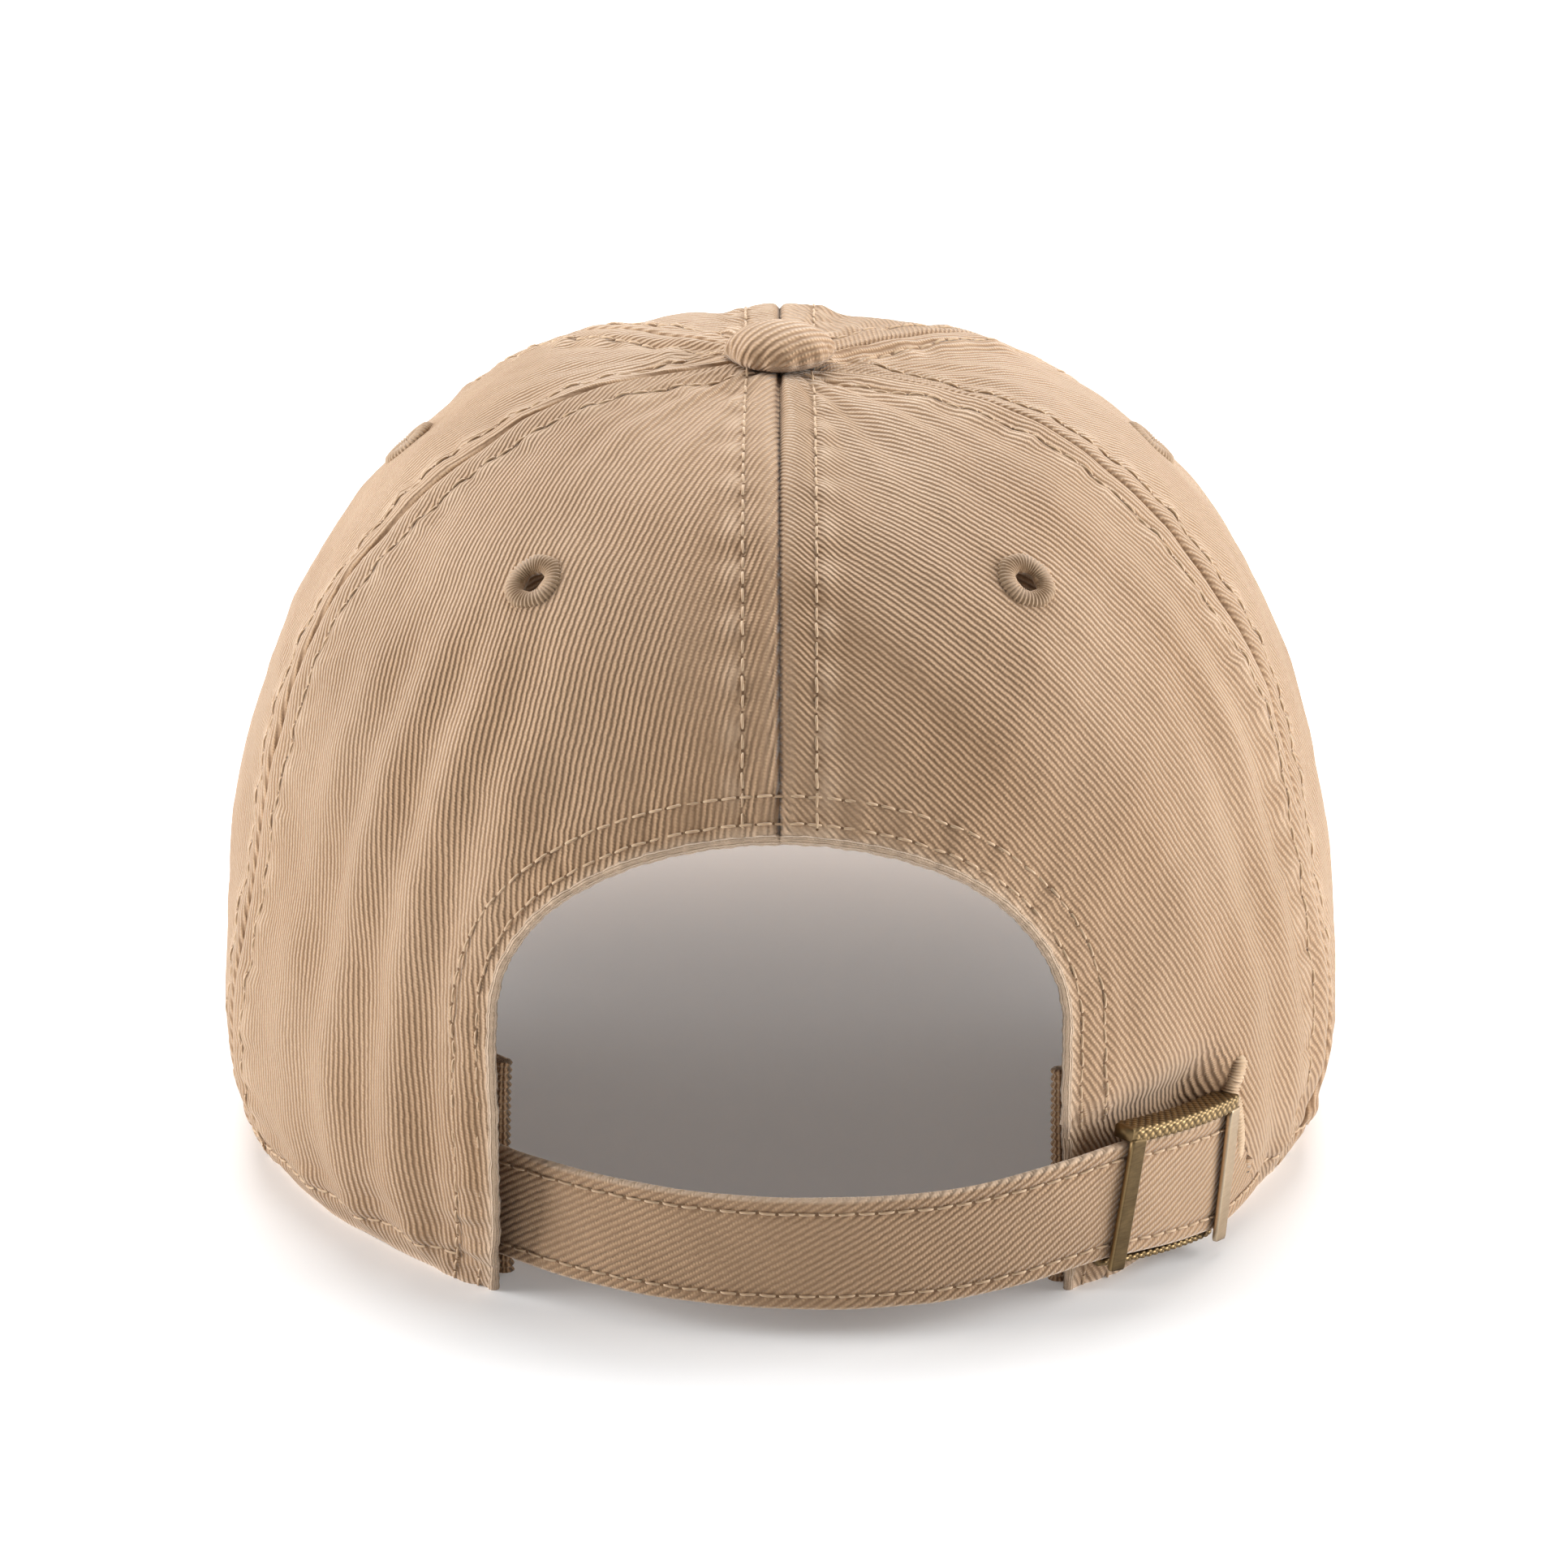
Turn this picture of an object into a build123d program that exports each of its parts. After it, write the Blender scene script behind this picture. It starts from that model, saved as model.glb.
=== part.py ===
"""Unstructured six-panel baseball cap with a self-fabric strap and a slide buckle.

Millimetres. +Y is the front (visor), +X the wearer's right, +Z up.
The cap stands on its back hem and on the two sides of its curved visor.
"""
from build123d import *
import math
import os

os.makedirs("parts", exist_ok=True)

# ---- crown shell -------------------------------------------------------
HALF_WIDTH = 86.5          # widest point of the crown, across
LENGTH_RATIO = 1.14        # crown length over crown width
CROWN_TOP = 121.0          # outer height over the hem
WIDEST_Z = 19.0            # height of the widest point
HEM_TUCK = 6.0             # the hem is this much narrower than the widest point
RADIUS_POWER = 0.76        # fullness of the shoulder
HEIGHT_POWER = 0.87
CLOTH = 0.9                # washed cotton twill with its seam allowance
CURVE_POINTS = 15
GAP = 0.3                  # clearance between separate bodies

# ---- panels, seams and eyelets -----------------------------------------
SEAM_GAP_DEG = 0.12
SEAMS = {"centre_back": -90, "right_back": -17, "right_front": 40,
         "centre_front": 90, "left_front": 140, "left_back": 197}
PANELS = {"panel_back_right": (-90, -17), "panel_side_right": (-17, 40),
          "panel_front_right": (40, 90), "panel_front_left": (90, 140),
          "panel_side_left": (140, 197), "panel_back_left": (197, 270)}
TAPE_WIDTH = 9.0
TAPE_THICK = 0.5
TAPE_TOP_RADIUS = 16.0
EYELETS = {"back_right": -52, "side_right": 12, "front_right": 65,
           "front_left": 115, "side_left": 168, "back_left": 232}
EYELET_Z = 102.5
EYELET_HOLE_R = 2.2
EYELET_RING_R = 4.4
EYELET_THICK = 1.0

# ---- back opening ------------------------------------------------------
ARCH_HALF = 42.0
ARCH_SIDE_Z = 44.0
ARCH_TOP_Z = 74.5
BINDING_WIDTH = 7.0
BINDING_THICK = 0.6

# ---- visor -------------------------------------------------------------
VISOR_RADIUS = 110.0
VISOR_SLOPE = 0.12
VISOR_HALF_WIDTH = 75.0
VISOR_ROOT_Y = 32.0
VISOR_TIP_Y = 168.0
VISOR_SEAM_Y = 90.0
VISOR_SEAM_Z = 35.2
HEM_EASE_Y = 20.0          # the flat hem eases up to the visor between -Y and +Y of this
HEM_EASE_Z = 4.6
VISOR_LAYERS = {"visor_top_cover": 0.9, "visor_board": 1.8, "visor_under_cover": 0.9}

# ---- sweatband ---------------------------------------------------------
BAND_HALF_WIDTH = 76.4
BAND_HALF_LENGTH = 87.4
BAND_HEIGHT = 34.0
BAND_COVER = 0.5
BAND_CORE = 1.0

# ---- strap and buckle, on one arc about a vertical axis ----------------
STRAP_AXIS = (6.6, -28.9)
STRAP_R = 68.0             # middle of the strap's thickness
STRAP_THICK = 1.6
STRAP_LOW = 3.0
STRAP_WIDTH = 17.6
STRAP_LEFT_DEG = -145.0    # hidden end, behind the left back panel
STRAP_RIGHT_DEG = -14.0    # tucked tail end, inside the right back panel
BUCKLE_DEG = -39.6         # middle of the buckle on the strap's arc
BUCKLE_SPAN_DEG = 20.6
BAR_DEG = 2.4
RAIL_HEIGHT = 2.5
RAIL_GAP = 0.3
BAR_THICK = 1.0
BAR_GAP = 0.5
PIN_DEPTH = 1.3            # the round centre bar's axis, behind the strap's inner face
PIN_R = 0.45
PIN_PLAY = 0.01
KEEPER_MARGIN = 1.5        # the keeper loop is this much narrower than the buckle, at each edge
DENT_R = 61.6              # the soft panel is pressed in behind the buckle
DENT_TOP = 25.5
DENT_DEG = (-70.0, -21.0)

# ---- button ------------------------------------------------------------
BUTTON_R = 7.8
BUTTON_HEIGHT = 4.2

STRAP_TOP = STRAP_LOW + STRAP_WIDTH
REAR_Y = STRAP_AXIS[1] - STRAP_R - STRAP_THICK / 2
CENTRE_Y = (VISOR_TIP_Y + REAR_Y) / 2    # moved to the origin when written


def crown_curve(t, inset=0.0):
    """Point (radius, height) of the crown's profile, inset along its normal; t runs -1..1."""
    def base(s):
        if s < 0:
            return HALF_WIDTH - HEM_TUCK * s * s, WIDEST_Z * (1 + s)
        a = s * math.pi / 2
        rise = (CROWN_TOP - WIDEST_Z) * math.sin(a) ** HEIGHT_POWER
        return HALF_WIDTH * math.cos(a) ** RADIUS_POWER, WIDEST_Z + rise
    if t >= 1:
        return 0.0, CROWN_TOP - inset
    step = 1e-3
    r0, z0 = base(t - step)
    r1, z1 = base(t + step) if t + step < 1 else (0.0, CROWN_TOP)
    dr, dz = r1 - r0, z1 - z0
    size = math.hypot(dr, dz)
    r, z = base(t)
    return max(r - inset * dz / size, 0.0), z + inset * dr / size


def crown_body(inset):
    """Solid bounded by the crown's surface, inset, in round space."""
    low = [crown_curve(-1 + i / 4, inset) for i in range(5)]
    high = [crown_curve(i / CURVE_POINTS, inset) for i in range(1, CURVE_POINTS + 1)]
    points = [(r, 0, z) for r, z in low + high]
    points[0] = (points[0][0], 0, 0)
    side = Spline(*points, tangents=[(0.3, 0, 1), (-1, 0, 0)])
    outline = [Line((0, 0, 0), points[0]), side, Line(points[-1], (0, 0, 0))]
    return revolve(make_face(Wire(outline)), Axis.Z)


def stretch(shape):
    """Round space to the cap's oval plan."""
    return scale(shape, by=(1, LENGTH_RATIO, 1))


def wedge(low_deg, high_deg, reach=140.0, height=140.0):
    """Pie slice about +Z, in round space, under 180 degrees."""
    steps = 8
    rim = [low_deg + (high_deg - low_deg) * i / steps for i in range(steps + 1)]
    corners = [(0, 0)] + [(reach * math.cos(math.radians(a)), reach * math.sin(math.radians(a))) for a in rim]
    return extrude(make_face(Polyline(*corners, close=True)), height)


def ring_sector(r_in, r_out, low_deg, high_deg, z_low, z_high):
    """Sector of a ring about the strap's vertical axis."""
    as_made = (Align.NONE, Align.NONE, Align.MIN)
    outer = Cylinder(r_out, z_high - z_low, arc_size=high_deg - low_deg, align=as_made)
    ring = Rot(0, 0, low_deg) * (outer - Cylinder(r_in, z_high - z_low, align=as_made))
    return Pos(*STRAP_AXIS, z_low) * ring


def arch_tool(grow=0.0):
    """Prism through the back wall with the half-moon outline, grown outwards."""
    half, rise = ARCH_HALF + grow, ARCH_TOP_Z - ARCH_SIDE_Z + grow
    round_top = Plane.XZ * Pos(0, ARCH_SIDE_Z) * Ellipse(half, rise)
    legs = Plane.XZ * Pos(0, ARCH_SIDE_Z / 2 - 5) * Rectangle(2 * half, ARCH_SIDE_Z + 10)
    return Pos(0, -45, 0) * extrude(round_top + legs, 90)


def visor_cylinder(drop):
    """Cylinder whose top is the visor's surface, lowered by drop."""
    tilt = math.degrees(math.atan(VISOR_SLOPE))
    axis = Pos(0, VISOR_SEAM_Y, VISOR_SEAM_Z - VISOR_RADIUS) * Rot(90 - tilt, 0, 0)
    return axis * Cylinder(VISOR_RADIUS - drop, 400)


def hem_cut(lift=0.0):
    """What the curved visor takes away from the front of the crown, easing in from the sides."""
    front = Pos(0, HEM_EASE_Y + 90, 0) * Box(260, 180, 300)
    ease = extrude(make_face(Polyline((0, -HEM_EASE_Y, -9), (0, -HEM_EASE_Y, 0), (0, HEM_EASE_Y, HEM_EASE_Z),
                                      (0, HEM_EASE_Y, -9), close=True)), 130, both=True)
    return Pos(0, 0, lift) * ((visor_cylinder(-GAP) & front) + ease)


def oval_prism(half_x, half_y, low, high):
    return Pos(0, 0, low) * extrude(Ellipse(half_x, half_y), high - low)


def dent_tool(inset):
    """Space pressed into the soft back wall behind the buckle, in round space."""
    r, top, rise = DENT_R - inset, DENT_TOP + inset, 26.0
    centre = Pos(STRAP_AXIS[0], STRAP_AXIS[1] / LENGTH_RATIO, 0)

    def oval(radius, z):
        return centre * Pos(0, 0, z) * Ellipse(radius, radius / LENGTH_RATIO)
    core = extrude(oval(r, -9), top + 9) + loft([oval(r, top), oval(r + rise, top + rise)], ruled=True)
    low, high = DENT_DEG
    rim = [math.radians(low + (high - low) * i / 6) for i in range(7)]
    corners = [(0, 0)] + [(150 * math.cos(a), 150 * math.sin(a) / LENGTH_RATIO) for a in rim]
    sector = centre * Pos(0, 0, -5) * extrude(make_face(Polyline(*corners, close=True)), top + rise + 5)
    return sector - core


def surface_point(angle_deg, z):
    """Outer crown point and its outward normal, in the oval plan."""
    low, high = 0.0, 0.999
    for _ in range(40):
        mid = (low + high) / 2
        if crown_curve(mid)[1] < z:
            low = mid
        else:
            high = mid
    r, height = crown_curve(low)
    r_in, z_in = crown_curve(low, 1.0)
    a = math.radians(angle_deg)
    normal = Vector((r - r_in) * math.cos(a), (r - r_in) * math.sin(a) / LENGTH_RATIO, height - z_in)
    return Vector(r * math.cos(a), LENGTH_RATIO * r * math.sin(a), height), normal.normalized()


def eyelet_plane(angle_deg):
    point, normal = surface_point(angle_deg, EYELET_Z)
    return Plane(origin=point, z_dir=normal)


# ---- crown -------------------------------------------------------------
def shell(outset, inset):
    """Cloth layer between two insets of the crown's surface."""
    return stretch(crown_body(outset)) - stretch(crown_body(inset))


def panel_layer(name, low_deg, high_deg):
    """One panel's cloth between its two seams; the right back one is pressed in."""
    outer = crown_body(0.0) & wedge(low_deg + SEAM_GAP_DEG, high_deg - SEAM_GAP_DEG)
    inner = crown_body(CLOTH) & wedge(low_deg - 2, high_deg + 2)
    if name == "panel_back_right":
        outer = outer - dent_tool(0.0)
        inner = inner - dent_tool(CLOTH)
    cloth = outer - inner
    if name.startswith("panel_back"):
        cloth = cloth - arch_tool()
    return stretch(cloth)


def strap_window():
    """Slot in the right back panel that the strap's tail passes through."""
    return ring_sector(STRAP_R - STRAP_THICK / 2 - GAP, STRAP_R + 14, -33.0, DENT_DEG[1] - 0.6,
                       STRAP_LOW - GAP, STRAP_TOP + GAP) \
        + ring_sector(STRAP_R - STRAP_THICK / 2 - GAP, STRAP_R + STRAP_THICK / 2 + GAP, -33.0, 0.0,
                      STRAP_LOW - GAP, STRAP_TOP + GAP)


def trim(solid):
    """Cut away below the hem line and inside the half-moon opening."""
    return solid - hem_cut() - arch_tool()


def biggest(shape):
    """The main solid, without slivers that a cut leaves."""
    return max(shape.solids(), key=lambda s: s.volume)


def make_crown(parts):
    for name, (low, high) in PANELS.items():
        cloth = panel_layer(name, low, high)
        if not name.startswith("panel_back"):
            cloth = cloth - hem_cut()
        cloth = cloth - eyelet_plane(EYELETS[name[6:]]) * Cylinder(EYELET_RING_R, 8)
        if name == "panel_back_right":
            cloth = cloth - strap_window()
        parts[name] = biggest(cloth)


def make_tapes(parts):
    """Twill tape over each seam, inside."""
    layer = trim(shell(CLOTH + 0.02, CLOTH + TAPE_THICK)) - arch_tool(BINDING_WIDTH + GAP)
    hub = Pos(0, 0, 60) * Cylinder(TAPE_TOP_RADIUS, 200)
    above_band = Pos(0, 0, 100 + BAND_HEIGHT + 1) * Box(300, 300, 200)
    for name, angle in SEAMS.items():
        a = math.radians(angle)
        direction = math.degrees(math.atan2(LENGTH_RATIO * math.sin(a), math.cos(a)))
        strip = Rot(0, 0, direction) * Pos(70, 0, 60) * Box(140, TAPE_WIDTH, 200)
        parts["seam_tape_" + name] = biggest((layer & strip & above_band) - hub)


def make_eyelets(parts):
    """Sewn thread rings, one through each panel."""
    for name, angle in EYELETS.items():
        plane = eyelet_plane(angle)
        ring = Cylinder(EYELET_RING_R - 0.02, 2 * EYELET_THICK + CLOTH) - Cylinder(EYELET_HOLE_R, 10)
        parts["eyelet_" + name] = plane * Pos(0, 0, -CLOTH / 2) * fillet(ring.edges().group_by(Axis.Z)[-1], 0.45)


def make_binding(parts):
    """Turned and stitched facing round the half-moon opening, inside the panels."""
    layer = shell(CLOTH + 0.02, CLOTH + BINDING_THICK) - hem_cut()
    lowest = Pos(0, 0, 100 + BAND_HEIGHT + 1) * Box(300, 300, 200)
    parts["opening_facing"] = biggest((layer & arch_tool(BINDING_WIDTH) & lowest) - arch_tool())


# ---- button ------------------------------------------------------------
def make_button(parts):
    base = CROWN_TOP + 0.1
    cap_r = (BUTTON_R ** 2 + BUTTON_HEIGHT ** 2) / (2 * BUTTON_HEIGHT)

    def dome(inset):
        ball = Pos(0, 0, base + BUTTON_HEIGHT - cap_r) * Sphere(cap_r - inset)
        return ball & (Pos(0, 0, base + 10 + (0.4 if inset else 0)) * Box(40, 40, 20))
    parts["button_cover"] = dome(0) - dome(0.8) - Pos(0, 0, base) * Cylinder(1.15, 2)
    parts["button_shell"] = dome(0.82) - dome(1.3) - Pos(0, 0, base) * Cylinder(4.2, 2.4)
    pin = Pos(0, 0, base - 1.9) * Cylinder(1.1, 5.2)
    foot = Pos(0, 0, base + 0.75) * Cylinder(4.0, 0.6)
    parts["button_rivet"] = pin + foot
    washer = Pos(0, 0, CROWN_TOP - CLOTH - 1.5) * Cylinder(5.5, 0.8)
    parts["button_washer"] = washer - Pos(0, 0, CROWN_TOP - 3) * Cylinder(1.12, 10)
    hole = Pos(0, 0, CROWN_TOP) * Cylinder(1.15, 10)
    for name in PANELS:
        parts[name] = biggest(parts[name] - hole)


# ---- visor -------------------------------------------------------------
def make_visor(parts):
    """Curved board between two fabric covers, as concentric layers."""
    outline = Pos(0, VISOR_ROOT_Y, -100) * extrude(Ellipse(VISOR_HALF_WIDTH, VISOR_TIP_Y - VISOR_ROOT_Y), 300)
    ahead = Pos(0, VISOR_ROOT_Y + 100, 0) * Box(300, 200, 300)
    head = oval_prism(BAND_HALF_WIDTH + 1.6, BAND_HALF_LENGTH + 1.6, -50, 200)
    rim = (outline & ahead) - head
    depth = 0.0
    for name, thick in VISOR_LAYERS.items():
        layer = visor_cylinder(depth) - visor_cylinder(depth + thick - 0.02)
        parts[name] = biggest((layer & rim) & (Pos(0, 100, 60) * Box(400, 300, 140)))
        depth += thick


# ---- sweatband ---------------------------------------------------------
def band_curve(offset):
    """Plan curve of the sweatband, offset inwards, open at the back."""
    points = []
    for degrees in range(-38, 219, 16):
        a = math.radians(degrees)
        points.append(((BAND_HALF_WIDTH - offset) * math.cos(a), (BAND_HALF_LENGTH - offset) * math.sin(a)))
    ends_r = STRAP_R - STRAP_THICK / 2 - 1.0 - offset

    def arc_point(degrees):
        a = math.radians(degrees)
        return STRAP_AXIS[0] + ends_r * math.cos(a), STRAP_AXIS[1] + ends_r * math.sin(a)
    left = [arc_point(d) for d in (-141, -137)]
    right_r = DENT_R - 1.6 - offset

    def dent_point(degrees):
        a = math.radians(degrees)
        return STRAP_AXIS[0] + right_r * math.cos(a), STRAP_AXIS[1] + right_r * math.sin(a)
    right = [dent_point(d) for d in (-54, -50)]
    return right + points + left


def band_wall(outer_offset, inner_offset, low, high):
    outer = Spline(*band_curve(outer_offset))
    inner = Spline(*band_curve(inner_offset))
    ends = [Line(outer @ 0, inner @ 0), Line(outer @ 1, inner @ 1)]
    face = make_face(Wire([outer, ends[0], inner, ends[1]]))
    return Pos(0, 0, low) * extrude(face, high - low)


def make_band(parts):
    """Sweatband: outer cover, soft core and inner cover, following the hem."""
    total = 2 * BAND_COVER + BAND_CORE
    layers = {"sweatband_outer_cover": (0.0, BAND_COVER),
              "sweatband_core": (BAND_COVER + 0.02, BAND_COVER + BAND_CORE),
              "sweatband_inner_cover": (BAND_COVER + BAND_CORE + 0.02, total)}
    under = Pos(0, 0, -200 + BAND_HEIGHT) * Box(400, 400, 400)
    follow = under + hem_cut(BAND_HEIGHT)
    for name, (outer, inner) in layers.items():
        wall = band_wall(outer, inner, 0.3, 90)
        parts[name] = biggest((wall & follow) - hem_cut())


# ---- strap and buckle --------------------------------------------------
def make_strap(parts):
    r_in, r_out = STRAP_R - STRAP_THICK / 2, STRAP_R + STRAP_THICK / 2
    parts["adjuster_strap"] = ring_sector(r_in, r_out, STRAP_LEFT_DEG, STRAP_RIGHT_DEG, STRAP_LOW, STRAP_TOP)


def make_buckle(parts):
    """Slide buckle: two knurled rails, two flat bars over the strap, one bar under it."""
    r_in, r_out = STRAP_R - STRAP_THICK / 2, STRAP_R + STRAP_THICK / 2
    left, right = BUCKLE_DEG - BUCKLE_SPAN_DEG / 2, BUCKLE_DEG + BUCKLE_SPAN_DEG / 2
    bar_low, bar_high = r_out + BAR_GAP, r_out + BAR_GAP + BAR_THICK
    low_z, high_z = STRAP_LOW - RAIL_GAP, STRAP_TOP + RAIL_GAP
    frame = ring_sector(bar_low, bar_high, left, left + BAR_DEG, low_z - 0.8, high_z + 0.8)
    frame += ring_sector(bar_low, bar_high, right - BAR_DEG, right, low_z - 0.8, high_z + 0.8)
    for z_low, z_high in ((low_z - RAIL_HEIGHT, low_z), (high_z, high_z + RAIL_HEIGHT)):
        frame += ring_sector(r_in - 1.6, bar_high, left, right, z_low, z_high)
    parts["buckle_frame"] = frame
    mid = BUCKLE_DEG
    a = math.radians(mid)
    pin_r = (r_in - PIN_DEPTH) * math.cos(a), (r_in - PIN_DEPTH) * math.sin(a)
    pin = Cylinder(PIN_R, high_z - low_z - 2 * PIN_PLAY)
    middle = (low_z + high_z) / 2
    parts["buckle_centre_bar"] = Pos(STRAP_AXIS[0] + pin_r[0], STRAP_AXIS[1] + pin_r[1], middle) * pin
    low, high = low_z + KEEPER_MARGIN, high_z - KEEPER_MARGIN
    loop = ring_sector(r_in - 2.5, r_in - 0.35, mid - BAR_DEG * 0.9, mid + BAR_DEG * 0.9, low, high)
    loop -= ring_sector(r_in - 2.0, r_in - 0.75, mid - BAR_DEG * 0.6, mid + BAR_DEG * 0.6, low_z, high_z)
    tail = ring_sector(r_in - 5.0, r_in - 2.5, mid - BAR_DEG * 0.9, mid - BAR_DEG * 0.2, low, high)
    tail += ring_sector(DENT_R + 0.4, r_in - 5.0, mid - BAR_DEG * 3, mid + BAR_DEG * 2, low, high)
    parts["buckle_keeper_loop"] = loop + tail


def write(parts):
    shift = Pos(0, -CENTRE_Y, 0)
    for name, shape in parts.items():
        moved = shift * shape
        export_step(moved, "parts/" + name + ".step")
    print("nodes", len(parts), "centre_y", round(CENTRE_Y, 3))


def main():
    parts = {}
    make_crown(parts)
    make_button(parts)
    make_tapes(parts)
    make_eyelets(parts)
    make_binding(parts)
    make_visor(parts)
    make_band(parts)
    make_strap(parts)
    make_buckle(parts)
    write(parts)


main()
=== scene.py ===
"""Washed cotton-twill baseball cap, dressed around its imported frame."""
import logging
import math
from dataclasses import dataclass, field
from enum import Enum
from typing import Callable, Sequence

import bpy
import numpy as np
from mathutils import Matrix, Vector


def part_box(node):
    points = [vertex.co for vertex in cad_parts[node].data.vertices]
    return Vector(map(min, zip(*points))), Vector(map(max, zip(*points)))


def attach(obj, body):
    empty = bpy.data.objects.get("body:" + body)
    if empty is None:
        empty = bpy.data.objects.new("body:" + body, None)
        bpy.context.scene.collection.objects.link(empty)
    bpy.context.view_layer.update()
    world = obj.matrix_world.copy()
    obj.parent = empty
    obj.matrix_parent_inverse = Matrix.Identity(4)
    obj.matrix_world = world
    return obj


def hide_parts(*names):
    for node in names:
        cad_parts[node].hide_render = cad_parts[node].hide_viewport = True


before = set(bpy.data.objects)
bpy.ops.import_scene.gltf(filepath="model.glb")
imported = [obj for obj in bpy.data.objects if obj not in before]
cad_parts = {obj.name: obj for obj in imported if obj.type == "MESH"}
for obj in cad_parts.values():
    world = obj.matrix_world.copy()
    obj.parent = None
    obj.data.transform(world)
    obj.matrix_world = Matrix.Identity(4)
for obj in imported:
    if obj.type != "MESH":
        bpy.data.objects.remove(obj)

LOG = logging.getLogger("cap")
MM = 0.001
TAU = 2 * math.pi
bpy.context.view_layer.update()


def smooth(edge_low: float, edge_high: float, value: np.ndarray) -> np.ndarray:
    """Smooth step from 0 at edge_low to 1 at edge_high."""
    x = np.clip((value - edge_low) / (edge_high - edge_low), 0.0, 1.0)
    return x * x * (3 - 2 * x)


def bell(value: np.ndarray, centre: float, width: float) -> np.ndarray:
    """Gaussian bump of height 1."""
    return np.exp(-((value - centre) / width) ** 2)


def ripple(x: np.ndarray, y: np.ndarray, z: np.ndarray, size: float, seed: float) -> np.ndarray:
    """Soft repeatable unevenness, about -1 to 1, with features of the given size."""
    k = TAU / size
    total = np.sin(k * (x + 0.31 * y) + seed) * np.cos(k * (0.83 * z - 0.27 * x) + 1.7 * seed)
    total = total + 0.6 * np.sin(k * (1.7 * y - 0.6 * z) + 2.3 * seed) * np.cos(k * 1.3 * (x + z) + seed)
    return total / 1.4


def srgb(red: int, green: int, blue: int) -> tuple[float, float, float, float]:
    """Linear colour from 8-bit display values."""
    def channel(v: int) -> float:
        c = v / 255
        return c / 12.92 if c <= 0.04045 else ((c + 0.055) / 1.055) ** 2.4
    return channel(red), channel(green), channel(blue), 1.0


# ---------------------------------------------------------------------------
# Finishes
# ---------------------------------------------------------------------------
class Nodes:
    """Small helper that wires a node tree."""

    def __init__(self, name: str) -> None:
        """Start an empty material of this name."""
        self.material = bpy.data.materials.new(name)
        self.material.use_nodes = True
        self.tree = self.material.node_tree
        self.tree.nodes.clear()
        self.output = self.tree.nodes.new("ShaderNodeOutputMaterial")
        self.shader = self.tree.nodes.new("ShaderNodeBsdfPrincipled")
        self.link(self.shader.outputs[0], self.output.inputs[0])

    def link(self, source: bpy.types.NodeSocket, target: bpy.types.NodeSocket) -> None:
        """Join two sockets."""
        self.tree.links.new(source, target)

    def feed(self, socket: bpy.types.NodeSocket, value: object) -> None:
        """Give a socket a link or a constant."""
        if isinstance(value, bpy.types.NodeSocket):
            self.link(value, socket)
        else:
            socket.default_value = value

    def math(self, operation: str, *values: object, clamp: bool = False) -> bpy.types.NodeSocket:
        """One Math node.

        Args:
            operation: Blender's name of the operation.
            values: constants or sockets, in order.
            clamp: whether the result is held to 0..1.

        Returns:
            The result socket.
        """
        node = self.tree.nodes.new("ShaderNodeMath")
        node.operation = operation
        node.use_clamp = clamp
        for socket, value in zip(node.inputs, values):
            self.feed(socket, value)
        return node.outputs[0]

    def mix(self, factor: object, first: object, second: object, blend: str = "MIX") -> bpy.types.NodeSocket:
        """Colour mix of first and second by factor."""
        node = self.tree.nodes.new("ShaderNodeMix")
        node.data_type = "RGBA"
        node.blend_type = blend
        self.feed(node.inputs["Factor"], factor)
        self.feed(node.inputs[6], first)
        self.feed(node.inputs[7], second)
        return node.outputs[2]

    def noise(self, vector: object, scale: float, detail: float = 2.0, rough: float = 0.5) -> bpy.types.NodeSocket:
        """Noise between about 0 and 1."""
        node = self.tree.nodes.new("ShaderNodeTexNoise")
        node.inputs["Scale"].default_value = scale
        node.inputs["Detail"].default_value = detail
        node.inputs["Roughness"].default_value = rough
        self.feed(node.inputs["Vector"], vector)
        return node.outputs["Fac"]

    def stretch(self, vector: object, scale: Sequence[float]) -> bpy.types.NodeSocket:
        """Vector scaled by a Mapping node."""
        node = self.tree.nodes.new("ShaderNodeMapping")
        node.inputs["Scale"].default_value = scale
        self.feed(node.inputs["Vector"], vector)
        return node.outputs[0]

    def object_place(self) -> bpy.types.NodeSocket:
        """Object coordinates."""
        return self.tree.nodes.new("ShaderNodeTexCoord").outputs["Object"]

    def uv(self) -> bpy.types.NodeSocket:
        """The piece's own cloth coordinates, in centimetres."""
        node = self.tree.nodes.new("ShaderNodeUVMap")
        node.uv_map = "cloth"
        return node.outputs[0]

    def attribute(self, name: str) -> bpy.types.NodeSocket:
        """A number stored on the piece's points."""
        node = self.tree.nodes.new("ShaderNodeAttribute")
        node.attribute_name = name
        return node.outputs["Fac"]

    def bump(self, height: object, strength: float, distance: float) -> None:
        """Bump on the shader's normal."""
        node = self.tree.nodes.new("ShaderNodeBump")
        node.inputs["Strength"].default_value = strength
        node.inputs["Distance"].default_value = distance
        self.feed(node.inputs["Height"], height)
        self.link(node.outputs[0], self.shader.inputs["Normal"])

    def split(self, vector: object) -> tuple[bpy.types.NodeSocket, bpy.types.NodeSocket]:
        """First two parts of a vector."""
        node = self.tree.nodes.new("ShaderNodeSeparateXYZ")
        self.feed(node.inputs[0], vector)
        return node.outputs[0], node.outputs[1]


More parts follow.
